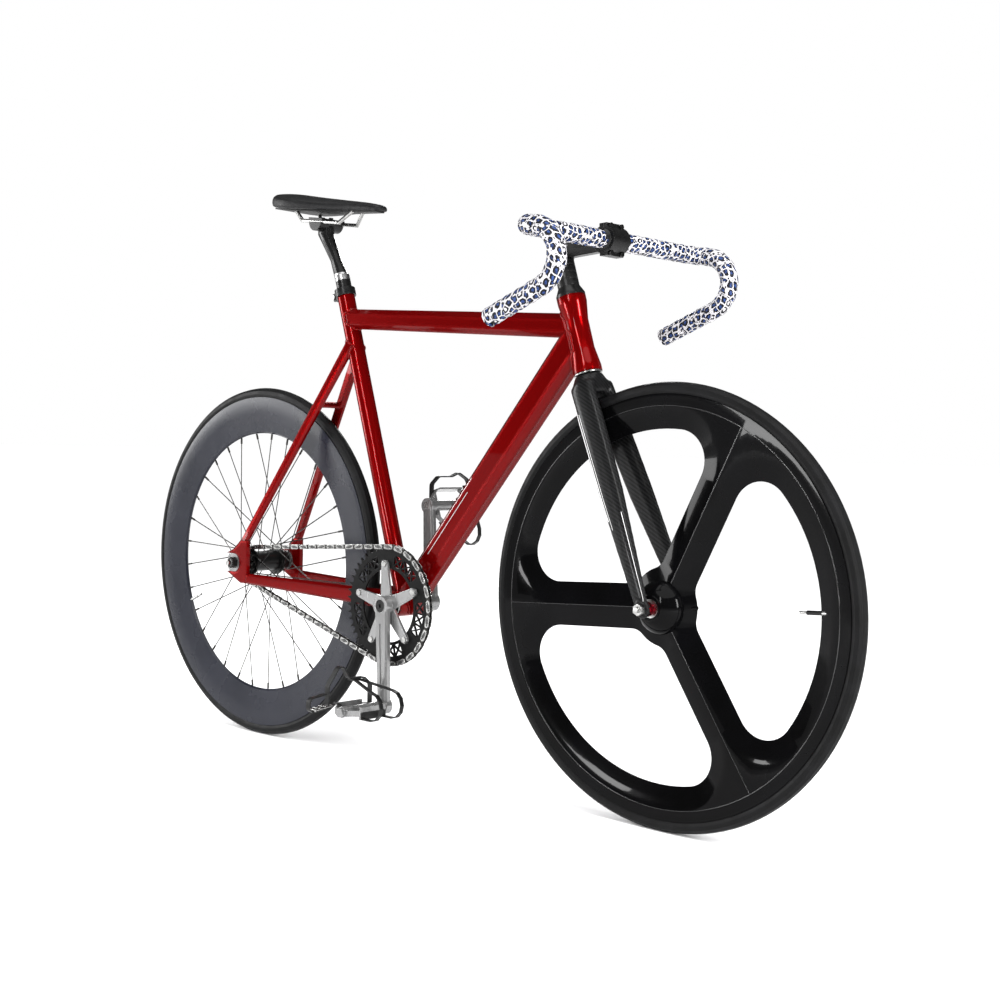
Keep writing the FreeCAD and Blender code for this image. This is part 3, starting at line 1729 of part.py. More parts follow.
def saddle_section(share):
    """A crowned top with drawn-in sides over a flat floor."""
    place_share, width_share, top_share, skirt_share = share
    place = saddle_nose * place_share if place_share > 0 else -saddle_tail * place_share
    half = saddle_half_width * width_share
    top = saddle_top * top_share
    floor = saddle_skirt * skirt_share
    edge = floor + (top - floor) * saddle_edge_share
    low_left = saddle_point(place, half * saddle_draw_share, floor)
    low_right = saddle_point(place, -half * saddle_draw_share, floor)
    left = saddle_point(place, half, edge)
    right = saddle_point(place, -half, edge)
    crown = Part.Arc(left, saddle_point(place, 0, top), right).toShape()
    return Part.Wire([
        Part.LineSegment(low_left, left).toShape(),
        crown,
        Part.LineSegment(right, low_right).toShape(),
        Part.LineSegment(low_right, low_left).toShape(),
    ])


def saddle_cover():
    return Part.makeLoft([saddle_section(share) for share in saddle_station_shares], True, True)


def saddle_shell():
    """The base under the cover, which carries the rails at both ends."""
    sections = []
    for place_share, width_share, top_share, skirt_share in saddle_station_shares[1:-1]:
        place = saddle_nose * place_share if place_share > 0 else -saddle_tail * place_share
        half = saddle_half_width * width_share * saddle_draw_share - shell_inset
        floor = saddle_skirt * skirt_share
        low = floor - shell_thickness
        corners = [(half, floor), (-half, floor), (-half, low), (half, low)]
        sections.append([saddle_point(place, y, h) for y, h in corners])
    return loft(sections)


# Pedals


def pedal_eye(side):
    return bracket_at + crank_direction * (-side * crank_length)


def pedal_axle(side):
    out = LEFT * side
    eye = pedal_eye(side)
    face = crank_tip_outer + pedal_axle_collar
    end = face + pedal_side_gap + pedal_width
    tip = eye + out * crank_tip_outer
    thread = rod(tip - out * crank_thickness, tip, pedal_thread_radius)
    collar = rod(tip, eye + out * face, pedal_axle_collar_radius)
    return thread.fuse(collar).fuse(rod(eye + out * face, eye + out * end, pedal_axle_radius))


def pedal_frame(side):
    """Origin of a pedal on its axle at the inner face, and its outward direction."""
    start = crank_tip_outer + pedal_axle_collar + pedal_side_gap
    return pedal_eye(side) + LEFT * (side * start), LEFT * side


def slab(origin, out, box):
    """A block given by its ranges ahead, outward and up from a pedal's origin."""
    (x0, x1), (y0, y1), (z0, z1) = box
    corners = [(x0, z0), (x1, z0), (x1, z1), (x0, z1)]
    return prism([origin + FORWARD * x + UP * z + out * y0 for x, z in corners], out * (y1 - y0))


def pedal_body(side):
    """A barrel inside a cut-cornered cage with a taller plate at front and back, and a dust cap."""
    origin, out = pedal_frame(side)
    half = pedal_cage_length / 2
    low = -pedal_cage_height / 2
    rise = UP * pedal_arm_height
    foot = origin + out * (pedal_width / 2) - rise * 0.5
    cage = prism(faceted(foot, FORWARD, out, pedal_cage_length, pedal_width, pedal_cage_corner), rise)
    length = pedal_cage_length - 2 * pedal_cage_thickness
    width = pedal_width - 2 * pedal_arm_thickness
    hollow = faceted(foot - rise, FORWARD, out, length, width, pedal_cage_inner_corner)
    whole = cage.cut(prism(hollow, rise * 3))
    whole = whole.fuse(rod(origin, origin + out * pedal_width, pedal_barrel_radius))
    span = (pedal_cage_corner, pedal_width - pedal_cage_corner)
    for sign in (-1, 1):
        near = sorted((sign * half, sign * (half - pedal_cage_thickness)))
        whole = whole.fuse(slab(origin, out, (near, span, (low, -low))))
    whole = whole.fuse(rod(origin, origin + out * (pedal_width + pedal_cap_length), pedal_cap_radius))
    bore = rod(origin - out * overrun, origin + out * pedal_width, pedal_axle_radius + run_clearance)
    return whole.cut(bore)


def band(points, half_width, thickness):
    """A flat strip that follows points in order, with its width along one direction."""
    sections = []
    count = len(points)
    for index, place in enumerate(points):
        before = (place - points[index - 1]).normalize() if index else None
        after = (points[index + 1] - place).normalize() if index < count - 1 else None
        tangent = (before or after) + (after or before)
        tangent.normalize()
        stretch = 1 / abs(tangent.dot(after or before))
        lift = tangent.cross(half_width).normalize() * (thickness / 2 * stretch)
        corners = ((1, 1), (-1, 1), (-1, -1), (1, -1))
        sections.append([place + half_width * a + lift * b for a, b in corners])
    return loft(sections)


def clip_top():
    """Height of the clip's tongue above the axle, and its front end, with the strap over its middle."""
    height = clip_height + clip_rise - pedal_cage_height / 2 + clip_thickness / 2
    return height, strap_back + (strap_width + clip_tongue_length) / 2


def toe_clip(side):
    """A mounting plate on the cage, two rails bent over the toe and the tongue that joins them."""
    origin, out = pedal_frame(side)
    front = pedal_cage_length / 2
    middle = pedal_width / 2
    radius = clip_height / 2
    low = -pedal_cage_height / 2 + clip_thickness / 2
    high, back = clip_top()
    reach = (clip_rail_spacing + clip_band_width) / 2
    floor = low - clip_thickness / 2
    whole = slab(origin, out, ((front, front + clip_thickness), (middle - reach, middle + reach),
                               (floor, floor + clip_plate_height)))
    for sign in (-1, 1):
        offset = out * (middle + sign * clip_rail_spacing / 2)
        points = [origin + FORWARD * front + UP * low + offset]
        centre = origin + FORWARD * (front + clip_reach - radius) + UP * (low + radius) + offset
        for step in range(clip_bend_steps + 1):
            turn = -90 + 180 * step / clip_bend_steps
            points.append(centre + direction(turn) * radius)
        top = out * (middle + sign * clip_top_spacing / 2)
        points.append(origin + FORWARD * back + UP * high + top)
        whole = whole.fuse(band(points, LEFT * (clip_band_width / 2), clip_thickness))
    half = (clip_top_spacing + clip_band_width) / 2
    tongue = slab(origin, out, ((back - clip_tongue_length, back), (middle - half, middle + half),
                                (high - clip_thickness / 2, high + clip_thickness / 2)))
    return whole.fuse(tongue)


def strip(path, thickness, closed):
    """Outlines on both sides of a path of (outward, up) pairs, offset by half a thickness."""
    places = [Vector(y, z, 0) for y, z in path]
    count = len(places)
    sides = ([], [])
    for index, place in enumerate(places):
        before = (place - places[index - 1]).normalize() if index or closed else None
        after = (places[(index + 1) % count] - place).normalize() if index < count - 1 or closed else None
        tangent = (before or after) + (after or before)
        tangent.normalize()
        stretch = 1 / abs(tangent.dot(after or before))
        shift = Vector(-tangent.y, tangent.x, 0) * (thickness / 2 * stretch)
        sides[0].append(place + shift)
        sides[1].append(place - shift)
    return sides


def toe_strap(side):
    """A strap through the cage and over the clip's tongue, with a buckle and a free tail outside."""
    origin, out = pedal_frame(side)
    half = strap_thickness / 2
    top = clip_top()[0] + clip_thickness / 2 + strap_gap + half
    low = -pedal_arm_height / 2 - strap_gap - half
    inner = pedal_arm_thickness + strap_gap + half
    outer = pedal_width - inner
    middle = pedal_width / 2
    knee = pedal_arm_height / 2 + 2 * strap_thickness
    elbow = knee + strap_shoulder / 2
    shoulder = top - strap_shoulder
    loop = [
        (inner, low),
        (outer, low),
        (outer, knee),
        (outer + strap_bulge, elbow),
        (outer + strap_bulge, elbow + buckle_height),
        (outer + strap_bulge / 2, top),
        (middle + strap_crest_reach, top + strap_crest_rise),
        (middle + strap_shoulder, top),
        (middle - strap_shoulder, top),
        (inner, shoulder),
    ]
    start = origin + FORWARD * strap_back

    def lifted(points):
        return [start + out * p.x + UP * p.y for p in points]

    depth = FORWARD * strap_width
    first, last = strip(loop, strap_thickness, True)
    pair = [prism(lifted(first), depth), prism(lifted(last), depth)]
    pair.sort(key=lambda solid: solid.Volume)
    band_solid = pair[1].cut(pair[0])
    face = outer + strap_bulge + half
    tall = (elbow, elbow + buckle_height)
    edge = (buckle_width - strap_width) / 2
    box = ((-edge, strap_width + edge), (face, face + buckle_thickness), tall)
    buckle = slab(start, out, box)
    tail = [
        (face + buckle_thickness + half, elbow + buckle_height),
        (face + buckle_thickness + half, elbow),
        (face + strap_tail_reach, elbow - strap_tail_drop / 2),
        (face + strap_tail_reach / 2, elbow - strap_tail_drop),
    ]
    first, last = strip(tail, strap_thickness, False)
    return [band_solid, buckle, prism(lifted(first + last[::-1]), depth)]


def main():
    os.makedirs("parts", exist_ok=True)
    points = chain_points()
    ring_phase = tooth_phase(points, bracket_at, ring_teeth)
    cog_phase = tooth_phase(points, rear_axle_at, cog_teeth)
    outer_links, inner_links = chain(points)
    stays = both_sides(seatstay())

    export("head_tube", head_tube())
    export("top_tube", top_tube())
    export("down_tube", down_tube())
    export("seat_tube", seat_tube())
    export("bottom_bracket_shell", bottom_bracket_shell())
    export("chainstays", *both_sides(chainstay()))
    export("seatstays", *stays, seatstay_bridge(stays))
    export("dropouts", *both_sides(dropout()))
    export("dropout_inserts", *both_sides(dropout_insert()))
    export("seat_collar", *seat_collar())
    export("headset_bearings", *headset_bearings())
    export("bottom_bracket_bearings", *both_sides(bracket_cup()), *both_sides(bracket_bearing()))
    export("rear_axle", rear_axle())
    export("rear_axle_nuts", *rear_axle_nuts())
    export("chain_outer_links", *outer_links)
    export("chain_inner_links", *inner_links)

    export("fork", fork())
    export("crown_race", crown_race())
    export("headset_top_cover", headset_top_cover())
    export("headset_spacers", *headset_spacers())
    export("stem", stem())
    export("stem_faceplate", stem_faceplate())
    export("stem_bolts", *stem_bolts())
    export("top_cap", top_cap())
    export("front_axle", front_axle())
    export("front_axle_nuts", *front_axle_nuts())
    export("front_axle_cones", *front_axle_cones())

    export("handlebar", handlebar())
    export("bar_tape", bar_tape(1), bar_tape(-1))
    export("bar_end_plugs", *bar_end_plugs())

    export("front_wheel_shell", front_wheel_shell())
    export("front_hub_bearings", *front_hub_bearings())
    export("front_tyre", tyre(front_axle_at))
    export("front_valve", valve(front_axle_at, front_valve_angle, front_rim_depth))

    export("rear_rim", rear_rim())
    export("rear_tyre", tyre(rear_axle_at))
    export("rear_valve", valve(rear_axle_at, rear_valve_angle, rear_rim_depth))
    export("rear_hub_shell", rear_hub_shell())
    export("rear_hub_bearings", *rear_hub_bearings())
    export("rear_spokes", *rear_spokes())
    export("rear_cog", rear_cog(cog_phase))
    export("cog_lockring", cog_lockring())

    export("crank_arm_right", crank_arm_right())
    export("crank_arm_left", crank_arm(1))
    export("chainring", chainring(ring_phase))
    export("chainring_bolts", *chainring_bolts())
    export("bottom_bracket_spindle", spindle())
    export("crank_bolts", *crank_bolts())
    export("pedal_axles", pedal_axle(-1), pedal_axle(1))

    for side, label, turn in ((-1, "right", 0), (1, "left", left_pedal_turn)):
        for name, pieces in (
            ("pedal_body_", [pedal_body(side)]),
            ("toe_clip_", [toe_clip(side)]),
            ("toe_strap_", toe_strap(side)),
        ):
            export(name + label, *[turned_about(piece, pedal_eye(side), LEFT, turn) for piece in pieces])

    export("seatpost", seatpost())
    export("saddle_clamp", *saddle_clamp())
    base = saddle_shell()
    cover = saddle_cover()
    export("saddle_shell", base)
    export("saddle_cover", cover)
    export("saddle_rails", *saddle_rails(base, cover))


main()
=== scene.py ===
import math

import bmesh
import bpy
from mathutils import Matrix, Vector
from mathutils.bvhtree import BVHTree


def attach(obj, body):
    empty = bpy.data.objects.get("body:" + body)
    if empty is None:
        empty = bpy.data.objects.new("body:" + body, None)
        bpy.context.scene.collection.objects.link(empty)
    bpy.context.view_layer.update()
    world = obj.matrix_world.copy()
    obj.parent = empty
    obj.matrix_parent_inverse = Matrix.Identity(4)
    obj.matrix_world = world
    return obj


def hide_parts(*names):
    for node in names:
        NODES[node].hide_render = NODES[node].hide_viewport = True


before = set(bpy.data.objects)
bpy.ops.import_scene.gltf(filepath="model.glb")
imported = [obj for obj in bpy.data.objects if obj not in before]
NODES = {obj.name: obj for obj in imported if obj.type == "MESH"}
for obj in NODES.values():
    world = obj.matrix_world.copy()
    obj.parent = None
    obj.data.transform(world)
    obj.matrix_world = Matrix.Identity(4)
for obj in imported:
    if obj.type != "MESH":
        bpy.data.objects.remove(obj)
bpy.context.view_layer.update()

# Lengths are in metres and angles in degrees
LEFT = Vector((0.0, 1.0, 0.0))
UP = Vector((0.0, 0.0, 1.0))
FORWARD = Vector((1.0, 0.0, 0.0))
SIDES = {1: "left", -1: "right"}

# Places and directions of the solids
FRONT_AXLE = Vector((0.48257, 0.0, 0.334))
BRACKET = Vector((-0.07243, 0.0, 0.2884))
STEER_FOOT = Vector((0.440677, 0.0, 0.320549))
STEER_AXIS = Vector((-0.305695, 0.0, 0.952129))
STEER_NORMAL = Vector((0.952129, 0.0, 0.305695))
SEAT_AXIS = Vector((-0.30237, 0.0, 0.953191))
BAR_CENTRE = Vector((0.364294, 0.0, 0.88391))
SADDLE_PIVOT = Vector((-0.308322, 0.0, 0.968978))
COLLAR_AT = Vector((-0.253711, 0.0, 0.84411))
DOWN_TUBE_HEAD = Vector((0.306079, 0.0, 0.739772))

# Shading: edges steeper than an angle stay sharp, and edges of metal look rounded
SHARP_ANGLE = 26.0
SHADE_MERGE = 1e-5
METAL_EDGE = 0.0009
EDGE_SAMPLES = 6
GRAIN_DEPTH = 0.0004

# Most of a noise lies between these values
NOISE_LOW = 0.3
NOISE_HIGH = 0.7
MIDWAY = 0.5

# Meshes: distances at which corners merge, and steps that even out a skin
MERGE = 1e-6
NODE_MERGE = 2e-5
PATH_SLACK = 1e-9
PATH_LEAST_STEPS = 3
EVEN_FACTOR = 0.5
EVEN_STEPS = 3

# Camera at the photograph's place: azimuth, elevation and roll, lens and clipping
CAMERA_AT = Vector((1.77298, -1.7425, 0.5703))
CAMERA_ANGLES = (43.0764, 2.2015, 1.2788)
CAMERA_LENS = 52.44
CAMERA_SENSOR = 36.0
CAMERA_CLIP = (0.05, 100.0)

# Light, with each softbox's place, target, width, height and watts
ROOM_LIGHT = 0.08
CEILING_TOWARDS = (-0.18, 0.2, -1.0)
CEILING_STRENGTH = 3.5
CEILING_SPREAD = 70.0
SOFTBOXES = {
    "key": ((1.0, -3.2, 2.2), (0.0, 0.0, 0.5), 0.3, 1.6, 60.0),
    "front": ((3.0, -0.3, 1.2), (0.4, 0.0, 0.6), 0.5, 1.4, 110.0),
    "far": ((-2.4, 2.8, 2.0), (0.0, 0.0, 0.5), 1.0, 0.8, 40.0),
    "rear": ((-2.9, -1.4, 1.2), (-0.2, 0.0, 0.5), 0.9, 1.6, 75.0),
    "panel": ((-0.95, -2.5, 0.55), (0.65, 0.0, 0.56), 0.3, 0.36, 16.0),
}
WHITE = (1.0, 1.0, 1.0, 1.0)
FLOOR_COLOUR = (0.93, 0.93, 0.935, 1.0)
FLOOR_HALF = 60.0

# Red lacquer, and the down tube's lines: their spans along it from the cranks and across it
RED_DARK = (0.11, 0.0004, 0.0006)
RED_LIGHT = (0.138, 0.0007, 0.001)
RED_TINT = (0.6, 0.02, 0.02, 1.0)
RED_EDGE = 0.008
WELD_RED_EDGE = 0.0005
DOWN_LINE_COLOUR = (0.72, 0.70, 0.70, 1.0)
DOWN_ALONG = (DOWN_TUBE_HEAD - BRACKET).normalized()
DOWN_RISE = Vector((-DOWN_ALONG.z, 0.0, DOWN_ALONG.x))
DOWN_LINES = [((0.062, 0.28), (0.0152, 0.0163)), ((0.114, 0.256), (0.0066, 0.0075))]

# Fork blade, as in the solids: from its root to the axle, half lengths of its section, and its spread
FORK_ROOT_UP = 0.3606
FORK_ROOT = STEER_FOOT + STEER_AXIS * FORK_ROOT_UP
FORK_ALONG = (FRONT_AXLE - FORK_ROOT).normalized()
FORK_AHEAD = Vector((-FORK_ALONG.z, 0.0, FORK_ALONG.x))
FORK_LENGTH = (FRONT_AXLE - FORK_ROOT).length
FORK_MID = FORK_LENGTH / 2
FORK_HALF_ROOT = 0.025
FORK_HALF_MID = 0.0225
FORK_HALF_TIP = 0.0125
FORK_ROOT_Y = 0.023
FORK_SPREAD = 0.084
# The crown is run into the blades near the root
FORK_VOXEL = 0.002
FORK_BLEND = 0.06
FORK_BLEND_FADE = 0.03
FORK_BLEND_STEPS = 60
# Its weave, and its lines: their spans along it from the root and across it in shares of its half length
WEAVE_TOW = 0.0019
WEAVE_STEP = 4.0
WEAVE_OVER = 1.5
WEAVE_SHADE = 0.5
WEAVE_CROWN_SHADE = 0.4
WEAVE_EDGE = 0.006
FORK_LINE_COLOUR = (0.75, 0.75, 0.75, 1.0)
FORK_LINES = [
    ((-0.005, 0.22), (-0.86, -0.73)),
    ((0.045, 0.235), (-0.6, -0.555)),
    ((0.215, FORK_LENGTH - 0.01), (0.6, 0.645)),
]

# Silver band of the seatpost, as heights over the collar, and the collar's bolt behind and beside it
BARE_METAL = (0.34, 0.5)
BAND = (0.0158, 0.0302)
BOLT_BEHIND = -0.0175
BOLT_ASIDE = 0.00605

# Tyre grooves
GROOVE_PITCH = 0.0016
GROOVE_DEPTH = 0.4

# Handlebar, as in the solids
BAR_TAPER_END = 0.0245
BAR_HALF_WIDTH = 0.210
BAR_BEND_RADIUS = 0.032
BAR_RAMP_ANGLE = 8.0
BAR_RAMP_LENGTH = 0.003
BAR_HOOK_RADIUS = 0.045
BAR_HOOK_END = 158.0
BAR_DROP_LENGTH = 0.104
BAR_CORNER = BAR_HALF_WIDTH - BAR_BEND_RADIUS
BAR_STRAIGHT = BAR_CORNER - BAR_TAPER_END
BAR_BEND = BAR_BEND_RADIUS * math.pi / 2
BAR_HOOK_TURN = BAR_HOOK_END - BAR_RAMP_ANGLE
BAR_HOOK = BAR_HOOK_RADIUS * math.radians(BAR_HOOK_TURN)
BAR_LENGTH = BAR_STRAIGHT + BAR_BEND + BAR_RAMP_LENGTH + BAR_HOOK + BAR_DROP_LENGTH

# Tape: radii, pitch and steps of a turn, and its section as shares of the pitch and of the rise
TAPE_LOW = 0.0128
TAPE_HIGH = 0.0147
TAPE_PITCH = 0.023
TAPE_STEPS = 40
TAPE_START = 0.5
TAPE_SHIFT = 0.4
TAPE_PROFILE = [(-0.25, 0.0), (0.0, 0.25), (0.35, 0.62), (0.7, 0.9), (0.93, 1.0), (1.0, 0.86), (1.0, 0.0)]

# Its print: pitch and warp of the rosettes, and their reach, blue and gaps in shares of the pitch
SPOT_PITCH = 0.0112
SPOT_RANDOM = 0.62
SPOT_WARP = (0.0045, 0.0045, 0.0045)
SPOT_WARP_SCALE = 130.0
SPOT_OUTER = 0.5
SPOT_INNER = 0.21
SPOT_BLUE = 0.26
SPOT_GAP = 0.085
# Cosine of half of a rosette's opening, and the share of the rosettes that have no blue
SPOT_OPENING = 0.86
SPOT_BARE = 0.12
# Small dots between them
DOT_PITCH = SPOT_PITCH / 1.6
DOT_OUTER = 0.22
DOT_CLEAR = 0.58
INK = (0.0025, 0.003, 0.006, 1.0)

# Saddle: reach from its pivot, and stations as a share of it, half width, top, edge and floor
SADDLE_PITCH = 7.0
SADDLE_NOSE = 0.153
SADDLE_TAIL = 0.119
SADDLE_STATIONS = [
    (1.0, 0.0062, 0.0318, 0.0302, 0.0284),
    (0.985, 0.0125, 0.0352, 0.0306, 0.0268),
    (0.94, 0.0162, 0.0374, 0.0308, 0.0258),
    (0.7, 0.0203, 0.0402, 0.0316, 0.0246),
    (0.4, 0.0252, 0.0409, 0.031, 0.0228),
    (0.15, 0.0385, 0.0414, 0.0303, 0.0214),
    (-0.2, 0.0528, 0.0438, 0.0308, 0.0196),
    (-0.55, 0.0598, 0.0468, 0.0316, 0.0182),
    (-0.83, 0.0535, 0.0484, 0.033, 0.0196),
    (-0.955, 0.0405, 0.0478, 0.0358, 0.0242),
    (-1.0, 0.029, 0.0455, 0.0382, 0.031),
]
# Its section over the edge, and the wall, lip and flat underside below it
SADDLE_SECTION = [(0.0, 1.0), (0.3, 0.985), (0.58, 0.91), (0.82, 0.68), (0.96, 0.32), (1.0, 0.0)]
SADDLE_WALL_SHARE = 0.6
SADDLE_LIP = 0.0016
SADDLE_LIP_SHARE = 0.96
SADDLE_FLOOR_SHARE = 0.84
# Its padding, as cloth under pressure that is held below a height
SADDLE_ROUNDING = 2
SADDLE_VOXEL = 0.0028
SADDLE_HELD = 0.034
SADDLE_HELD_FADE = 0.004
SADDLE_PRESSURE = 4.0
SADDLE_FRAMES = 20
SADDLE_SWELL = 0.0022

# Front hub: radii and heights of its domes, and the stopper in its wall, in line with the valve
HUB_DOME = [
    (0.0402, 0.0104), (0.0404, 0.0118), (0.0396, 0.0152), (0.0375, 0.0192), (0.0342, 0.0236),
    (0.03, 0.028), (0.0255, 0.0318), (0.0215, 0.0344), (0.0178, 0.0359), (0.0148, 0.0364),
    (0.0144, 0.0352), (0.018, 0.034), (0.03, 0.02), (0.036, 0.0104),
]
HUB_SIDES = 72
HUB_REACH = 0.2
VALVE_ANGLE = 3.5
STOPPER_INSIDE = 0.03
STOPPER_RADIUS = 0.00302
STOPPER_EDGE = 0.0042
STOPPER_CROWN = [(-0.0003, 1.0), (0.0, 0.8), (0.0001, 0.4)]
STOPPER_SIDES = 16

# Front valve: radius of its sleeve and its reach from the axle
VALVE_SLEEVE = 0.0033
VALVE_SLEEVE_ENDS = (0.2665, 0.2425)

# Beads on the ridges of the front wheel
RIM_HALF_WIDTH = 0.0104
RIM_CREASE = 0.2988
RIM_TURN = 3
SPOKES = 3
SPOKE_ANGLE = 63.5
SPOKE_FROM = 0.041
RIDGE_RADIUS = 0.0008
RIDGE_STEP = 0.006

# Toe straps: the cranks' length and angle, the pedal's inner end, the strap's back edge and section,
# and its path as reaches outwards, heights over the axle and the radii of its bends
CRANK_LENGTH = 0.17
CRANK_ANGLE = -84.0
PEDAL_INNER = 0.0775
STRAP_BACK = -0.0208
STRAP_WIDTH = 0.011
STRAP_HALF = 0.0011
STRAP_EDGE = 0.0005
STRAP_STEP = 0.0012
STRAP_BEND_STEPS = 8
STRAP_PATH = [
    (0.084, 0.0135, 0.0), (0.0756, 0.0105, 0.003), (0.0756, -0.0064, 0.0025), (0.0084, -0.0064, 0.0025),
    (0.0084, 0.038, 0.009), (0.024, 0.0515, 0.009), (0.057, 0.0515, 0.012), (0.075, 0.08, 0.009),
    (0.1025, 0.044, 0.016), (0.1025, 0.008, 0.008), (0.1425, 0.0035, 0.009), (0.1425, 0.0265, 0.009),
    (0.108, 0.031, 0.0),
]
# The crest of the path on either side
STRAP_TOP = {-1: 0.08, 1: 0.0585}

# Buckles: reach and height of both ends, and the radii of rails, bars and roller
BUCKLE_FROM = Vector((0.095, 0.0115))
BUCKLE_TO = Vector((0.133, 0.0075))
BUCKLE_RAIL = 0.0013
BUCKLE_BAR = 0.0011
BUCKLE_ROLLER = 0.0026
BUCKLE_BARS = 6
BUCKLE_RISE = 0.0022

# Weld beads: section and ripple, the least edges that are welded, and the tubes welded to others
BEAD_RADIUS = 0.0020
BEAD_RIPPLE = 0.0005
BEAD_PITCH = 0.0026
BEAD_STEP = 0.00065
BEAD_SIDES = 8
BEAD_TOUCH = 0.0004
BEAD_LEAST = 0.012
WELD_ANGLE = 14.0
WELDS = {
    "head_tube": ("top_tube", "down_tube"),
    "seat_tube": ("top_tube", "seatstays"),
    "bottom_bracket_shell": ("seat_tube", "down_tube", "chainstays"),
}

# Chain: pitch, and pin ends and raised panels as shares of their radius and rise
CHAIN_PITCH = 0.0127
PIN_RADIUS = 0.0017
PIN_RISE = 0.0006
PIN_SIDES = 12
PIN_PROFILE = [(1.0, -0.3), (1.0, 0.55), (0.82, 1.0), (0.5, 1.0), (0.34, 0.6)]
PANEL_REACH = 0.0021
PANEL_REACH_SHARE = 0.15
PANEL_HALF = 0.0027
PANEL_SIDES = 16
PANEL_PROFILE = [(1.0, -0.2), (1.0, 0.5), (0.8, 1.0), (0.45, 0.8)]


def direction(angle):
    turn = math.radians(angle)
    return Vector((math.cos(turn), 0.0, math.sin(turn)))


def linked(name, data):
    """A new object in the scene."""
    thing = bpy.data.objects.new(name, data)
    bpy.context.scene.collection.objects.link(thing)
    return thing


# Node helpers


def new_material(name):
    material = bpy.data.materials.new(name)
    material.use_nodes = True
    tree = material.node_tree
    return material, tree, tree.nodes["Principled BSDF"]


def put(tree, socket, value):
    """Sets a socket to a value, or links it to a socket or to a node's first output."""
    if isinstance(value, bpy.types.NodeSocket):
        tree.links.new(value, socket)
    elif isinstance(value, bpy.types.Node):
        tree.links.new(value.outputs[0], socket)
    else:
        socket.default_value = value


def feed(tree, node, inputs):
    """Puts values or links on a node's inputs, given by name or number."""
    for key, value in inputs.items():
        put(tree, node.inputs[key], value)
    return node


def add(tree, kind, inputs=None, **properties):
    """A new node of a kind, with its properties and inputs."""
    node = tree.nodes.new("ShaderNode" + kind)
    for key, value in properties.items():
        setattr(node, key, value)
    return feed(tree, node, inputs or {})


def math_node(tree, operation, *values):
    return add(tree, "Math", dict(enumerate(values)), operation=operation).outputs[0]


def times(tree, first, second):
    return math_node(tree, "MULTIPLY", first, second)


def less(tree, value, limit):
    return math_node(tree, "LESS_THAN", value, limit)


def more(tree, value, limit):
    return math_node(tree, "GREATER_THAN", value, limit)


def vector_node(tree, operation, *values):
    return add(tree, "VectorMath", dict(enumerate(values)), operation=operation)


def object_place(tree):
    return add(tree, "TexCoord").outputs["Object"]


def object_coords(tree, scale=(1.0, 1.0, 1.0)):
    return add(tree, "Mapping", {"Vector": object_place(tree), "Scale": scale}).outputs[0]


def offset(tree, axis, origin=Vector()):
    """Distance of a point from an origin along an axis."""
    reach = vector_node(tree, "DOT_PRODUCT", object_place(tree), axis).outputs["Value"]
    return math_node(tree, "SUBTRACT", reach, axis.dot(origin))


def noise(tree, vector, scale, detail=2.0, roughness=0.5):
    inputs = {"Vector": vector, "Scale": scale, "Detail": detail, "Roughness": roughness}
    return add(tree, "TexNoise", inputs).outputs["Fac"]


def flat_cells(tree, vector, pitch, randomness=1.0, feature="F1"):
    """Cells scattered over a surface, of about a pitch."""
    inputs = {"Vector": vector, "Scale": 1 / pitch, "Randomness": randomness}
    return add(tree, "TexVoronoi", inputs, voronoi_dimensions="2D", feature=feature).outputs


def ramp(tree, factor, *stops):
    """Colours between stops, each given as a place and a colour."""
    node = add(tree, "ValToRGB", {"Fac": factor})
    elements = node.color_ramp.elements
    while len(elements) < len(stops):
        elements.new(MIDWAY)
    for element, (place, colour) in zip(elements, stops):
        element.position = place
        element.color = (*colour, 1.0)
    return node.outputs["Color"]


def drift(tree, factor, low, high, start=NOISE_LOW, end=NOISE_HIGH):
    """A colour that follows a noise from one shade to another."""
    return ramp(tree, factor, (start, low), (end, high))


def grey(value):
    return (value, value, value)


def map_range(tree, value, start, end, low, high):
    """A value's place from start to end, as a place from low to high."""
    inputs = {"Value": value, "From Min": start, "From Max": end, "To Min": low, "To Max": high}
    return add(tree, "MapRange", inputs).outputs["Result"]


def between(tree, value, low, high):
    return times(tree, more(tree, value, low), less(tree, value, high))


def lines(tree, along, across, spans):
    """A mask of straight lines, from the span of each along and across a tube."""
    mask = 0.0
    for length, width in spans:
        line = times(tree, between(tree, along, *length), between(tree, across, *width))
        mask = math_node(tree, "ADD", mask, line)
    return mask


def over(tree, base, top, factor):
    """One colour laid over another."""
    return add(tree, "Mix", {0: factor, 6: base, 7: top}, data_type="RGBA").outputs[2]


def varied(tree, shader, vector, low, high, scale):
    """Roughness that drifts between two values."""
    haze = noise(tree, vector, scale, detail=4.0)
    put(tree, shader.inputs["Roughness"], map_range(tree, haze, NOISE_LOW, NOISE_HIGH, low, high))


def bump(tree, shader, height, strength, distance):
    node = add(tree, "Bump", {"Height": height, "Strength": strength, "Distance": distance})
    put(tree, shader.inputs["Normal"], node)
    return node


def rounded(tree, ripple, radius):
    """Edges under a bump shaded as if rounded."""
    put(tree, ripple.inputs["Normal"], add(tree, "Bevel", {"Radius": radius}, samples=EDGE_SAMPLES))


# Materials


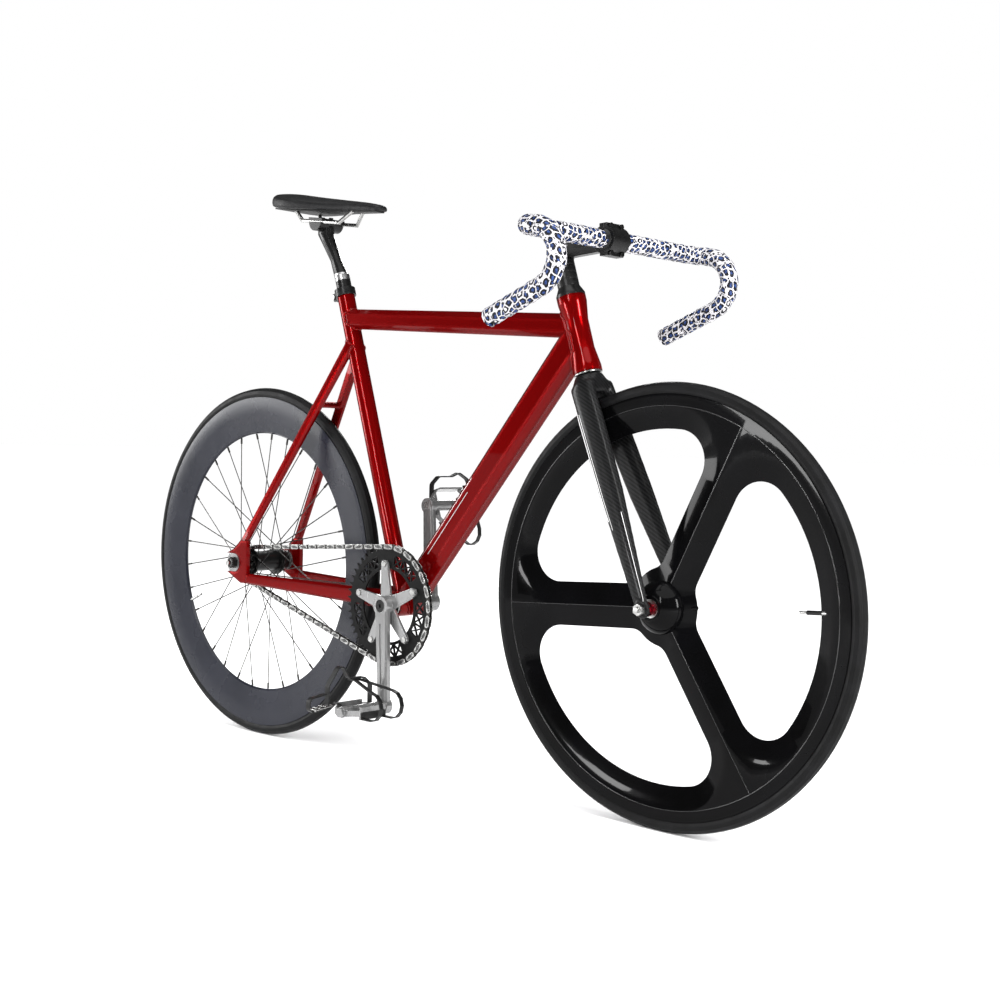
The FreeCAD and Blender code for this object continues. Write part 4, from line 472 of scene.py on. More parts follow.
def candy_red(name, stripe=None, specular=0.05, edge=RED_EDGE):
    """Flaked red under lacquer, with white lines where a mask is given."""
    material, tree, shader = new_material(name)
    vector = object_coords(tree)
    colour = drift(tree, noise(tree, vector, scale=1400.0, detail=1.0), RED_DARK, RED_LIGHT)
    if stripe:
        colour = over(tree, colour, DOWN_LINE_COLOUR, stripe(tree))
    feed(tree, shader, {
        "Base Color": colour, "Metallic": 0.45, "Specular IOR Level": specular, "Specular Tint": RED_TINT,
        "Coat Weight": 0.18, "Coat Roughness": 0.02,
    })
    varied(tree, shader, vector, scale=30.0, low=0.17, high=0.19)
    ripple = bump(tree, shader, noise(tree, vector, scale=90.0), strength=0.01, distance=0.001)
    rounded(tree, ripple, edge)
    return material


def down_stripes(tree):
    """Two short lines along the upper facets of the down tube, above the cranks."""
    along = offset(tree, DOWN_ALONG, BRACKET)
    rise = offset(tree, DOWN_RISE, BRACKET)
    return lines(tree, along, rise, DOWN_LINES)


def fork_stripes(tree):
    """Thin lines along the back edge of a blade, and along its front edge lower down."""
    along = offset(tree, FORK_ALONG, FORK_ROOT)
    ahead = offset(tree, FORK_AHEAD, FORK_ROOT)
    upper = map_range(tree, along, 0.0, FORK_MID, FORK_HALF_ROOT, FORK_HALF_MID)
    lower = map_range(tree, along, FORK_MID, FORK_LENGTH, 0.0, FORK_HALF_MID - FORK_HALF_TIP)
    share = math_node(tree, "DIVIDE", ahead, math_node(tree, "SUBTRACT", upper, lower))
    aside = math_node(tree, "ABSOLUTE", offset(tree, LEFT, FORK_ROOT))
    spread = times(tree, along, FORK_SPREAD)
    outside = more(tree, math_node(tree, "SUBTRACT", aside, spread), FORK_ROOT_Y)
    return times(tree, lines(tree, along, share, FORK_LINES), outside)


def carbon_weave(name, along, ahead):
    """Twill of dark tows under a clear coat, laid along one direction, with the blades' lines."""
    material, tree, shader = new_material(name)
    warp = offset(tree, along / WEAVE_TOW)
    weft = offset(tree, (ahead + LEFT) / WEAVE_TOW)
    step = math_node(tree, "ADD", math_node(tree, "FLOOR", warp), math_node(tree, "FLOOR", weft))
    twill = less(tree, math_node(tree, "FLOORED_MODULO", step, WEAVE_STEP), WEAVE_OVER)

    def crown(place):
        wave = math_node(tree, "SINE", times(tree, place, math.pi))
        return math_node(tree, "ABSOLUTE", wave)

    crowns = add(tree, "Mix", {0: twill, 2: crown(warp), 3: crown(weft)}).outputs[0]
    shade = math_node(tree, "ADD", times(tree, twill, WEAVE_SHADE), times(tree, crowns, WEAVE_CROWN_SHADE))
    colour = ramp(tree, shade, (0.0, grey(0.0012)), (0.45, grey(0.0035)), (1.0, (0.015, 0.0152, 0.016)))
    feed(tree, shader, {
        "Base Color": over(tree, colour, FORK_LINE_COLOUR, fork_stripes(tree)), "Roughness": 0.3,
        "Specular IOR Level": 0.08, "Coat Weight": 0.06, "Coat Roughness": 0.07,
    })
    rounded(tree, bump(tree, shader, crowns, strength=0.25, distance=0.0002), WEAVE_EDGE)
    return material


def moulded_gloss(name, specular):
    """Glossy black moulding, faintly uneven."""
    material, tree, shader = new_material(name)
    vector = object_coords(tree)
    shade = noise(tree, vector, scale=9.0, detail=5.0)
    feed(tree, shader, {
        "Base Color": drift(tree, shade, grey(0.0012), (0.0022, 0.0022, 0.0026)),
        "Specular IOR Level": specular, "Coat Weight": 0.09, "Coat Roughness": 0.03,
    })
    varied(tree, shader, vector, scale=14.0, low=0.1, high=0.15)
    ripple = noise(tree, vector, scale=55.0, detail=3.0)
    rounded(tree, bump(tree, shader, ripple, strength=0.03, distance=0.001), radius=0.0012)
    return material


def tyre_rubber():
    """Fine rubber with moulded grooves round the tyre."""
    material, tree, shader = new_material("tyre_rubber")
    vector = object_coords(tree)
    shade = noise(tree, vector, scale=40.0, detail=6.0)
    colour = drift(tree, shade, grey(0.0025), (0.005, 0.005, 0.0055), end=0.75)
    feed(tree, shader, {"Base Color": colour, "Specular IOR Level": 0.1})
    varied(tree, shader, vector, scale=60.0, low=0.45, high=0.6)
    aside = add(tree, "SeparateXYZ", {0: vector}).outputs["Y"]
    wave = math_node(tree, "SINE", times(tree, aside, 2 * math.pi / GROOVE_PITCH))
    grooves = times(tree, wave, GROOVE_DEPTH)
    height = math_node(tree, "ADD", grooves, noise(tree, vector, scale=900.0, detail=3.0))
    bump(tree, shader, height, strength=0.22, distance=0.0005)
    return material


def metal(name, low, high, rough, stretch=(1.0, 1.0, 1.0), grain=0.08, metallic=1.0, specular=0.5, mark=None):
    """Metal whose grain runs along the axis with the smallest stretch. A mark is a bare stretch of it."""
    material, tree, shader = new_material(name)
    vector = object_coords(tree, stretch)
    streak = noise(tree, vector, scale=160.0, detail=5.0, roughness=0.6)
    colour = drift(tree, streak, low, high)
    if mark:
        metallic = mark(tree)
        bare = drift(tree, streak, *map(grey, BARE_METAL))
        colour = over(tree, colour, bare, metallic)
    feed(tree, shader, {"Base Color": colour, "Metallic": metallic, "Specular IOR Level": specular})
    varied(tree, shader, vector, *rough, scale=90.0)
    rounded(tree, bump(tree, shader, streak, grain, GRAIN_DEPTH), METAL_EDGE)
    return material


def post_band(tree):
    return between(tree, offset(tree, SEAT_AXIS, COLLAR_AT), *BAND)


def collar_bolt(tree):
    """The bolt's head and nut outside the collar's ears."""
    behind = less(tree, offset(tree, FORWARD, COLLAR_AT), BOLT_BEHIND)
    aside = math_node(tree, "ABSOLUTE", offset(tree, LEFT, COLLAR_AT))
    return times(tree, behind, more(tree, aside, BOLT_ASIDE))


def plastic(name, low, high, rough, grain_scale, grain, grain_detail=3.0, shade=(25.0, 5.0), end=NOISE_HIGH,
            rough_scale=30.0):
    """Moulded plastic with a fine grain, and a shade that follows a noise of a scale and detail."""
    material, tree, shader = new_material(name)
    vector = object_coords(tree)
    colour = drift(tree, noise(tree, vector, *shade), low, high, end=end)
    feed(tree, shader, {"Base Color": colour, "Specular IOR Level": 0.2})
    varied(tree, shader, vector, *rough, scale=rough_scale)
    bump(tree, shader, noise(tree, vector, grain_scale, grain_detail), grain, GRAIN_DEPTH)
    return material


def leather(name, low, high, rough, cell, grain):
    """Fine pebbled hide."""
    material, tree, shader = new_material(name)
    vector = object_coords(tree)
    colour = drift(tree, noise(tree, vector, scale=30.0, detail=5.0), low, high, end=0.75)
    feed(tree, shader, {"Base Color": colour, "Specular IOR Level": 0.18})
    varied(tree, shader, vector, *rough, scale=45.0)
    pebbles = add(tree, "TexVoronoi", {"Vector": vector, "Scale": 1 / cell})
    bump(tree, shader, pebbles, grain, GRAIN_DEPTH)
    return material


def rosettes(tree, source):
    """Masks of the blue, and of the ink of broken rings and of dots between them."""
    drawn = add(tree, "TexNoise", {"Vector": source, "Scale": SPOT_WARP_SCALE, "Detail": 0.0})
    place = vector_node(tree, "MULTIPLY_ADD", drawn.outputs["Color"], SPOT_WARP, source).outputs[0]
    spots = flat_cells(tree, place, SPOT_PITCH, SPOT_RANDOM)
    border = flat_cells(tree, place, SPOT_PITCH, SPOT_RANDOM, "DISTANCE_TO_EDGE")["Distance"]
    apart = more(tree, border, SPOT_GAP)

    def within(reach):
        return less(tree, spots["Distance"], reach)

    chance = add(tree, "SeparateColor", {0: spots["Color"]}).outputs
    turn = times(tree, chance[1], 2 * math.pi)
    opening = add(tree, "CombineXYZ", {0: math_node(tree, "COSINE", turn), 1: math_node(tree, "SINE", turn)})
    outwards = vector_node(tree, "NORMALIZE", vector_node(tree, "SUBTRACT", place, spots["Position"]))
    facing = vector_node(tree, "DOT_PRODUCT", outwards, opening).outputs["Value"]
    closed = less(tree, facing, SPOT_OPENING)
    outer = times(tree, within(SPOT_OUTER), apart)
    inner = times(tree, within(SPOT_INNER), apart)
    ring = times(tree, math_node(tree, "SUBTRACT", outer, inner), closed)
    filled = more(tree, chance[0], SPOT_BARE)
    blue = times(tree, within(SPOT_BLUE), filled)
    dot = less(tree, flat_cells(tree, place, DOT_PITCH)["Distance"], DOT_OUTER)
    clear = more(tree, spots["Distance"], DOT_CLEAR)
    return blue, math_node(tree, "MAXIMUM", ring, times(tree, dot, clear))


def leopard(name, attribute):
    """White tape with dark rosettes, most filled with blue, that follow an attribute if one is given."""
    material, tree, shader = new_material(name)
    if attribute:
        source = add(tree, "Attribute", attribute_name=attribute).outputs["Vector"]
    else:
        source = object_coords(tree)
    filled, inked = rosettes(tree, source)
    white = drift(tree, noise(tree, source, scale=120.0, detail=3.0), (0.46, 0.45, 0.47), (0.54, 0.53, 0.55))
    shade = noise(tree, source, scale=300.0)
    blue = drift(tree, shade, (0.006, 0.012, 0.05), (0.02, 0.055, 0.2), start=0.35, end=0.65)
    colour = over(tree, over(tree, white, blue, filled), INK, inked)
    feed(tree, shader, {"Base Color": colour, "Specular IOR Level": 0.2})
    varied(tree, shader, source, scale=80.0, low=0.46, high=0.6)
    bump(tree, shader, noise(tree, source, scale=1500.0, detail=3.0), strength=0.12, distance=0.0003)
    return material


# Mesh helpers


def new_piece(name, mesh, body, material):
    piece = linked(name, mesh)
    mesh.materials.append(material)
    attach(piece, body)
    return piece


def smooth(mesh, sharp=None):
    """Shades a mesh smooth, up to an angle where one is given."""
    for polygon in mesh.polygons:
        polygon.use_smooth = True
    if sharp is not None:
        mesh.set_sharp_from_angle(angle=math.radians(sharp))


def finished(work, name, sharp=None):
    """The mesh of a finished form."""
    bmesh.ops.recalc_face_normals(work, faces=work.faces)
    mesh = bpy.data.meshes.new(name)
    work.to_mesh(mesh)
    work.free()
    smooth(mesh, sharp)
    return mesh


def circle(centre, across, up, radius, sides):
    """Places round a circle in the plane of two directions."""
    turns = [2 * math.pi * corner / sides for corner in range(sides)]
    return [centre + (across * math.cos(turn) + up * math.sin(turn)) * radius for turn in turns]


def corners(work, places):
    return [work.verts.new(place) for place in places]


def bridge(work, rings):
    """Faces from each ring of corners to the next."""
    size = len(rings[0])
    for first, last in zip(rings, rings[1:]):
        for corner in range(size):
            after = (corner + 1) % size
            work.faces.new((first[corner], first[after], last[after], last[corner]))


def cap(work, rings):
    """A face over either end of a run of rings."""
    work.faces.new(rings[0][::-1])
    work.faces.new(rings[-1])


def loft(work, sections):
    """A skin over sections of as many places each, closed at either end."""
    rings = [corners(work, places) for places in sections]
    bridge(work, rings)
    cap(work, rings)


def built(work, name, body, material, sharp=None):
    """A new piece from a finished form."""
    return new_piece(name, finished(work, name, sharp), body, material)


def settled(piece):
    """The piece's mesh with its modifiers applied."""
    graph = bpy.context.evaluated_depsgraph_get()
    graph.update()
    return bpy.data.meshes.new_from_object(piece.evaluated_get(graph))


def remeshed(mesh, size, rounding=0):
    """A mesh rounded by subdivision and made anew from voxels."""
    work = linked("remesh_work", mesh)
    work.modifiers.new("round", "SUBSURF").levels = rounding
    remesh = work.modifiers.new("voxels", "REMESH")
    remesh.mode = "VOXEL"
    remesh.voxel_size = size
    fine = settled(work)
    bpy.data.objects.remove(work)
    return fine


def even_out(piece, name, steps, group=""):
    evened = piece.modifiers.new(name, "SMOOTH")
    evened.factor = EVEN_FACTOR
    evened.iterations = steps
    evened.vertex_group = group


def joined(node):
    """A node's mesh with its corners merged."""
    work = bmesh.new()
    work.from_mesh(NODES[node].data)
    bmesh.ops.remove_doubles(work, verts=work.verts, dist=NODE_MERGE)
    return work


def path_length(points):
    return sum((last - first).length for first, last in zip(points, points[1:]))


def evenly(points, step):
    """Points at an even spacing along a path."""
    count = max(PATH_LEAST_STEPS, int(path_length(points) / step))
    spacing = path_length(points) / count
    places = [points[0]]
    left = spacing
    for first, last in zip(points, points[1:]):
        reach = (last - first).length
        place = left
        while place <= reach + PATH_SLACK:
            places.append(first.lerp(last, place / reach))
            place += spacing
        left = place - reach
    return places


def bead(work, path, thickness, step, wave=0.0):
    """A round bead along a path, rippled by a wave. One that ends where it starts is joined there."""
    points = evenly(path, step)
    closed = (path[0] - path[-1]).length < MERGE
    if closed:
        points.pop()
    rings = []
    across = None
    for index, point in enumerate(points):
        before = points[index - 1] if closed or index else point
        after = points[(index + 1) % len(points)] if closed or index + 1 < len(points) else point
        tangent = (after - before).normalized()
        across = across or tangent.orthogonal()
        across = (across - tangent * across.dot(tangent)).normalized()
        radius = thickness + wave * abs(math.sin(math.pi * index * step / BEAD_PITCH))
        rings.append(corners(work, circle(point, across, tangent.cross(across), radius, BEAD_SIDES)))
    if closed:
        end = rings[-1][0].co
        shift = min(range(BEAD_SIDES), key=lambda corner: (rings[0][corner].co - end).length)
        rings.append(rings[0][shift:] + rings[0][:shift])
    else:
        cap(work, rings)
    bridge(work, rings)


# Tape


def bar_station(place, side):
    """Centre of the bar and the two directions of its section at a length from the sleeve."""
    out = LEFT * side
    along = direction(-BAR_RAMP_ANGLE)
    plane = direction(90 - BAR_RAMP_ANGLE)
    if place <= BAR_STRAIGHT:
        return BAR_CENTRE + out * (BAR_TAPER_END + place), along, plane
    place -= BAR_STRAIGHT
    if place <= BAR_BEND:
        turn = place / BAR_BEND_RADIUS
        centre = BAR_CENTRE + out * (BAR_CORNER + BAR_BEND_RADIUS * math.sin(turn))
        centre += along * (BAR_BEND_RADIUS * (1 - math.cos(turn)))
        return centre, along * math.cos(turn) - out * math.sin(turn), plane
    place -= BAR_BEND
    start = BAR_CENTRE + out * BAR_HALF_WIDTH + along * BAR_BEND_RADIUS
    if place <= BAR_RAMP_LENGTH:
        return start + along * place, out * -1, plane
    place -= BAR_RAMP_LENGTH
    hook_centre = start + along * BAR_RAMP_LENGTH - plane * BAR_HOOK_RADIUS
    angle = BAR_RAMP_ANGLE + min(math.degrees(place / BAR_HOOK_RADIUS), BAR_HOOK_TURN)
    outward = direction(90 - angle)
    rest = max(0.0, place - BAR_HOOK)
    return hook_centre + outward * BAR_HOOK_RADIUS + direction(-angle) * rest, out * -1, outward


def tape_piece(side, material):
    """Tape wound round half of the bar, each turn lapping over the one before it."""
    count = int(BAR_LENGTH / TAPE_PITCH * TAPE_STEPS) + 1
    work = bmesh.new()
    spots = work.verts.layers.float_vector.new("tape_place")
    rings = []
    for step in range(count + 1):
        turn = step / TAPE_STEPS
        angle = 2 * math.pi * turn * side
        ring = []
        for share, lift in TAPE_PROFILE:
            place = min(max((turn + share - TAPE_START) * TAPE_PITCH, 0.0), BAR_LENGTH)
            centre, across, upright = bar_station(place, side)
            radius = TAPE_LOW + (TAPE_HIGH - TAPE_LOW) * lift
            vert = work.verts.new(centre + (across * math.cos(angle) + upright * math.sin(angle)) * radius)
            around = 2 * math.pi * turn * TAPE_HIGH
            vert[spots] = Vector((around, share * TAPE_PITCH + TAPE_SHIFT * side, 0.0))
            ring.append(vert)
        rings.append(ring)
    bridge(work, rings)
    cap(work, rings)
    bmesh.ops.remove_doubles(work, verts=work.verts, dist=MERGE)
    piece = built(work, "bar_tape_wrap_" + SIDES[side], "handlebar", material, sharp=50)
    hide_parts("bar_tape")


# Saddle


def saddle_point(ahead, left, up):
    return SADDLE_PIVOT + direction(-SADDLE_PITCH) * ahead + LEFT * left + direction(90 - SADDLE_PITCH) * up


def saddle_form():
    """A crowned cover over foam, with a rolled lower edge and a flat underside."""
    sections = []
    for share, half, top, edge, floor in SADDLE_STATIONS:
        ahead = (SADDLE_NOSE if share > 0 else SADDLE_TAIL) * share
        side = [(half * y, edge + (top - edge) * z) for y, z in SADDLE_SECTION]
        wall = (half, edge + (floor - edge) * SADDLE_WALL_SHARE)
        side += [wall, (half * SADDLE_LIP_SHARE, floor - SADDLE_LIP), (half * SADDLE_FLOOR_SHARE, floor)]
        points = side + [(-y, z) for y, z in side[:0:-1]]
        sections.append([saddle_point(ahead, y, z) for y, z in points])
    work = bmesh.new()
    loft(work, sections)
    return finished(work, "saddle_form")


def padded_mesh(form):
    """The form swollen as cloth under pressure, held along its lower edge and underside."""
    fine = remeshed(form, SADDLE_VOXEL, SADDLE_ROUNDING)
    scene = bpy.context.scene
    work = linked("saddle_work", fine)
    rest = [vert.co.copy() for vert in fine.vertices]
    up = direction(90 - SADDLE_PITCH)
    held = work.vertex_groups.new(name="held")
    for index, place in enumerate(rest):
        height = (place - SADDLE_PIVOT).dot(up)
        share = min(max((SADDLE_HELD - height) / SADDLE_HELD_FADE, 0.0), 1.0)
        held.add([index], share, "REPLACE")
    cloth = work.modifiers.new("cloth", "CLOTH").settings
    cloth.use_pressure = True
    cloth.uniform_pressure_force = SADDLE_PRESSURE
    cloth.vertex_group_mass = "held"
    cloth.effector_weights.gravity = 0.0
    for count in range(1, SADDLE_FRAMES + 1):
        scene.frame_set(count)
    swollen = settled(work)
    for vert, start in zip(swollen.vertices, rest):
        shift = vert.co - start
        if shift.length > SADDLE_SWELL:
            vert.co = start + shift.normalized() * SADDLE_SWELL
    scene.frame_set(1)
    bpy.data.objects.remove(work)
    return swollen


def saddle_piece(material):
    mesh = padded_mesh(saddle_form())
    smooth(mesh)
    piece = new_piece("saddle_padded_cover", mesh, "saddle", material)
    even_out(piece, "even", EVEN_STEPS)
    subdivide = piece.modifiers.new("round", "SUBSURF")
    subdivide.levels = subdivide.render_levels = 1
    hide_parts("saddle_cover")


# Fork and front wheel


def fork_piece(material):
    """The fork with its crown and blades run into each other, as one moulding."""
    mesh = remeshed(NODES["fork"].data.copy(), FORK_VOXEL)
    smooth(mesh)
    mesh.materials.clear()
    piece = new_piece("fork_moulding", mesh, "steering", material)
    blended = piece.vertex_groups.new(name="blended")
    for vert in mesh.vertices:
        place = (vert.co - FORK_ROOT).dot(FORK_ALONG)
        near = min(max((FORK_BLEND - abs(place)) / FORK_BLEND_FADE, 0.0), 1.0)
        blended.add([vert.index], near, "REPLACE")
    even_out(piece, "even", EVEN_STEPS)
    even_out(piece, "run_in", FORK_BLEND_STEPS, "blended")
    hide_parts("fork")


def hub_stopper(work):
    """A rounded stopper in the hub's wall, in line with the valve."""
    solid = joined("front_wheel_shell")
    tree = BVHTree.FromBMesh(solid)
    out = direction(VALVE_ANGLE)
    rise = direction(VALVE_ANGLE + 90)
    start = FRONT_AXLE + out * HUB_REACH
    hits = [tree.ray_cast(start + rise * aside, out * -1)[0] for aside in (-STOPPER_EDGE, STOPPER_EDGE)]
    solid.free()
    end = sum((hit - FRONT_AXLE).dot(out) for hit in hits) / len(hits)
    sections = []
    for place, share in [(STOPPER_INSIDE, 1.0)] + [(end + step, share) for step, share in STOPPER_CROWN]:
        sections.append(circle(FRONT_AXLE + out * place, rise, LEFT, STOPPER_RADIUS * share, STOPPER_SIDES))
    loft(work, sections)


def hub_piece(material):
    """Smooth domes over both ends of the front hub, and the stopper in its wall."""
    work = bmesh.new()
    for side in (-1, 1):
        rings = []
        for radius, height in HUB_DOME:
            centre = FRONT_AXLE + LEFT * (side * height)
            rings.append(corners(work, circle(centre, FORWARD, UP, radius, HUB_SIDES)))
        bridge(work, rings + rings[:1])
    hub_stopper(work)
    built(work, "front_hub_domes", "front_wheel", material, sharp=40)


def edge_piece(material):
    """Fine beads along the ridges of the front wheel's spokes and round its rim, on both sides."""
    work = bmesh.new()
    for side in (-1, 1):
        face = FRONT_AXLE + LEFT * (side * RIM_HALF_WIDTH)
        rim = [face + direction(turn) * RIM_CREASE for turn in range(0, 360 + RIM_TURN, RIM_TURN)]
        bead(work, rim, RIDGE_RADIUS, RIDGE_STEP)
        for index in range(SPOKES):
            out = direction(SPOKE_ANGLE + 360 / SPOKES * index)
            bead(work, [face + out * SPOKE_FROM, face + out * RIM_CREASE], RIDGE_RADIUS, RIDGE_STEP)
    built(work, "front_wheel_edges", "front_wheel", material, sharp=60)


def valve_piece(material):
    """A dark sleeve round the foot of the front wheel's valve."""
    work = bmesh.new()
    out = direction(VALVE_ANGLE)
    ends = [FRONT_AXLE + out * reach for reach in VALVE_SLEEVE_ENDS]
    bead(work, ends, VALVE_SLEEVE, RIDGE_STEP)
    built(work, "front_valve_sleeve", "front_wheel", material, sharp=50)


# Toe straps


def strap_place(side, reach, height, ahead):
    """A place of a pedal from its reach outwards, height over the axle and distance ahead of it."""
    eye = BRACKET + direction(CRANK_ANGLE) * (-side * CRANK_LENGTH)
    return eye + LEFT * (side * (PEDAL_INNER + reach)) + UP * height + FORWARD * ahead


def filleted(path):
    """A path of places and bend radii with an arc at each bend."""
    places = [Vector((reach, height)) for reach, height, radius in path]
    points = [places[0]]
    for index in range(1, len(path) - 1):
        here, radius = places[index], path[index][2]
        before = (places[index - 1] - here).normalized()
        after = (places[index + 1] - here).normalized()
        half = before.angle(after) / 2
        centre = here + (before + after).normalized() * (radius / math.sin(half))
        start = here + before * (radius / math.tan(half)) - centre
        end = here + after * (radius / math.tan(half)) - centre
        turn = math.atan2(start.cross(end), start.dot(end))
        for step in range(STRAP_BEND_STEPS + 1):
            points.append(centre + Matrix.Rotation(turn * step / STRAP_BEND_STEPS, 2) @ start)
    return points + [places[-1]]


def strap_piece(side, material):
    """A strap through the pedal's cage, over the clip and through the buckle, with its tail turned back."""
    name = SIDES[side]
    route = filleted([(reach, min(height, STRAP_TOP[side]), radius) for reach, height, radius in STRAP_PATH])
    points = evenly([strap_place(side, *point, STRAP_BACK) for point in route], STRAP_STEP)
    thick, narrow = STRAP_HALF, STRAP_HALF - STRAP_EDGE
    wide, inset = STRAP_WIDTH, STRAP_WIDTH - STRAP_EDGE
    section = [
        (0.0, -narrow), (STRAP_EDGE, -thick), (inset, -thick), (wide, -narrow),
        (wide, narrow), (inset, thick), (STRAP_EDGE, thick), (0.0, narrow),
    ]
    sections = []
    for index, point in enumerate(points):
        before = points[max(index - 1, 0)]
        after = points[min(index + 1, len(points) - 1)]
        rise = FORWARD.cross((after - before).normalized())
        sections.append([point + FORWARD * across + rise * up for across, up in section])
    work = bmesh.new()
    loft(work, sections)
    piece = built(work, "toe_strap_loop_" + name, "pedal_" + name, material, sharp=35)
    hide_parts("toe_strap_" + name)


def buckle_piece(side, material):
    """Two rails with toothed bars between them and a roller at the outer end."""
    name = SIDES[side]
    work = bmesh.new()
    edges = (STRAP_BACK - BUCKLE_RAIL, STRAP_BACK + STRAP_WIDTH + BUCKLE_RAIL)
    for ahead in edges:
        ends = [strap_place(side, *end, ahead) for end in (BUCKLE_FROM, BUCKLE_TO)]
        bead(work, ends, BUCKLE_RAIL, STRAP_STEP)
    for index in range(BUCKLE_BARS + 1):
        reach, height = BUCKLE_FROM.lerp(BUCKLE_TO, index / BUCKLE_BARS)
        height += (index % 2) * BUCKLE_RISE
        thickness = BUCKLE_ROLLER if index == BUCKLE_BARS else BUCKLE_BAR
        bead(work, [strap_place(side, reach, height, ahead) for ahead in edges], thickness, STRAP_STEP)
    built(work, "toe_buckle_" + name, "pedal_" + name, material, sharp=50)


# Welds


def joint_links(node, other):
    """Sharp edges of a tube that lie on the surface of another, as the neighbours of each of their ends."""
    work = joined(node)
    solid = joined(other)
    tree = BVHTree.FromBMesh(solid)
    links = {}
    for edge in work.edges:
        if len(edge.link_faces) != 2 or edge.calc_face_angle() < math.radians(WELD_ANGLE):
            continue
        ends = [vert.co.copy().freeze() for vert in edge.verts]
        middle = (ends[0] + ends[1]) / 2
        if all(tree.find_nearest(place)[3] < BEAD_TOUCH for place in (*ends, middle)):
            for first, last in (ends, ends[::-1]):
                links.setdefault(first, []).append(last)
    work.free()
    solid.free()
    return links


def joint_runs(node, other):
    """Paths along a tube's joint with another."""
    links = joint_links(node, other)
    runs = []
    while links:
        starts = [place for place in links if len(links[place]) == 1]
        run = [min(starts or links, key=tuple)]
        while run[-1] in links:
            here = run[-1]
            after = min(links[here], key=lambda place: (place - here).length)
            for first, last in ((here, after), (after, here)):
                links[first].remove(last)
                if not links[first]:
                    del links[first]
            run.append(after)
        runs.append(run)
    return [run for run in runs if path_length(run) > BEAD_LEAST]


def weld_piece(material):
    work = bmesh.new()
    for other, tubes in WELDS.items():
        for run in [run for tube in tubes for run in joint_runs(tube, other)]:
            bead(work, run, BEAD_RADIUS, BEAD_STEP, BEAD_RIPPLE)
    built(work, "weld_beads", "frame", material)


# Chain


def islands(work):
    """The separate shells of a mesh, as lists of corners."""
    left = dict.fromkeys(work.verts)
    shells = []
    while left:
        shell = [next(iter(left))]
        del left[shell[0]]
        for vert in shell:
            for other in [edge.other_vert(vert) for edge in vert.link_edges]:
                if other in left:
                    del left[other]
                    shell.append(other)
        shells.append(shell)
    return shells


def pin_end(work, centre, out):
    """A riveted pin end: a low dome with a dimple."""
    up = out.cross(FORWARD)
    sections = []
    for share, height in PIN_PROFILE:
        place = centre + out * (PIN_RISE * height)
        sections.append(circle(place, FORWARD, up, PIN_RADIUS * share, PIN_SIDES))
    loft(work, sections)


def raised_panel(work, centre, along, out):
    """A long raised panel with rounded ends on a chain plate."""
    up = out.cross(along)
    sections = []
    for share, height in PANEL_PROFILE:
        places = []
        for corner in range(PANEL_SIDES):
            turn = 2 * math.pi * (corner + 0.5) / PANEL_SIDES
            end = math.copysign(PANEL_REACH, math.cos(turn)) * min(1.0, share + PANEL_REACH_SHARE)
            half = PANEL_HALF * share
            shift = along * (end + half * math.cos(turn)) + up * (half * math.sin(turn))
            places.append(centre + shift + out * (PIN_RISE * height))
        sections.append(places)
    loft(work, sections)


def chain_pins(material):
    """Riveted pin ends and raised panels on the outer plates of the chain."""
    source = joined("chain_outer_links")
    work = bmesh.new()
    line = sum(vert.co.y for vert in source.verts) / len(source.verts)
    for shell in islands(source):
        centre = sum((vert.co for vert in shell), Vector()) / len(shell)
        far = max(shell, key=lambda vert: ((vert.co - centre).xz.length, tuple(vert.co))).co - centre
        along = Vector((far.x, 0.0, far.z)).normalized()
        side = 1.0 if centre.y > line else -1.0
        centre.y = max(vert.co.y * side for vert in shell) * side
        raised_panel(work, centre, along, LEFT * side)
        for end in (-1, 1):
            pin_end(work, centre + along * (end * CHAIN_PITCH / 2), LEFT * side)
    source.free()
    built(work, "chain_pin_ends", "frame", material, sharp=35)


# Scene


def dress(material, *names):
    for name in names:
        node = NODES[name]
        node.data.materials.clear()
        node.data.materials.append(material)


def even_normals():
    """Joins the faces' borders and keeps only the true edges sharp."""
    group = bpy.data.node_groups.new("even_normals", "GeometryNodeTree")
    for way in ("INPUT", "OUTPUT"):
        group.interface.new_socket("Geometry", in_out=way, socket_type="NodeSocketGeometry")
    new = group.nodes.new
    start, end = new("NodeGroupInput"), new("NodeGroupOutput")
    merge = new("GeometryNodeMergeByDistance")
    merge.inputs["Distance"].default_value = SHADE_MERGE
    soften, sharpen = new("GeometryNodeSetShadeSmooth"), new("GeometryNodeSetShadeSmooth")
    sharpen.domain = "EDGE"
    sharpen.inputs["Shade Smooth"].default_value = False
    angle = new("GeometryNodeInputMeshEdgeAngle")
    steep = new("FunctionNodeCompare")
    steep.inputs[1].default_value = math.radians(SHARP_ANGLE)
    group.links.new(angle.outputs["Unsigned Angle"], steep.inputs[0])
    group.links.new(steep.outputs[0], sharpen.inputs["Selection"])
    flow = [start, merge, soften, sharpen, end]
    for first, last in zip(flow, flow[1:]):
        group.links.new(first.outputs[0], last.inputs["Geometry"])
    return group


def shade_nodes():
    group = even_normals()
    for node in NODES.values():
        node.modifiers.new("normals", "NODES").node_group = group


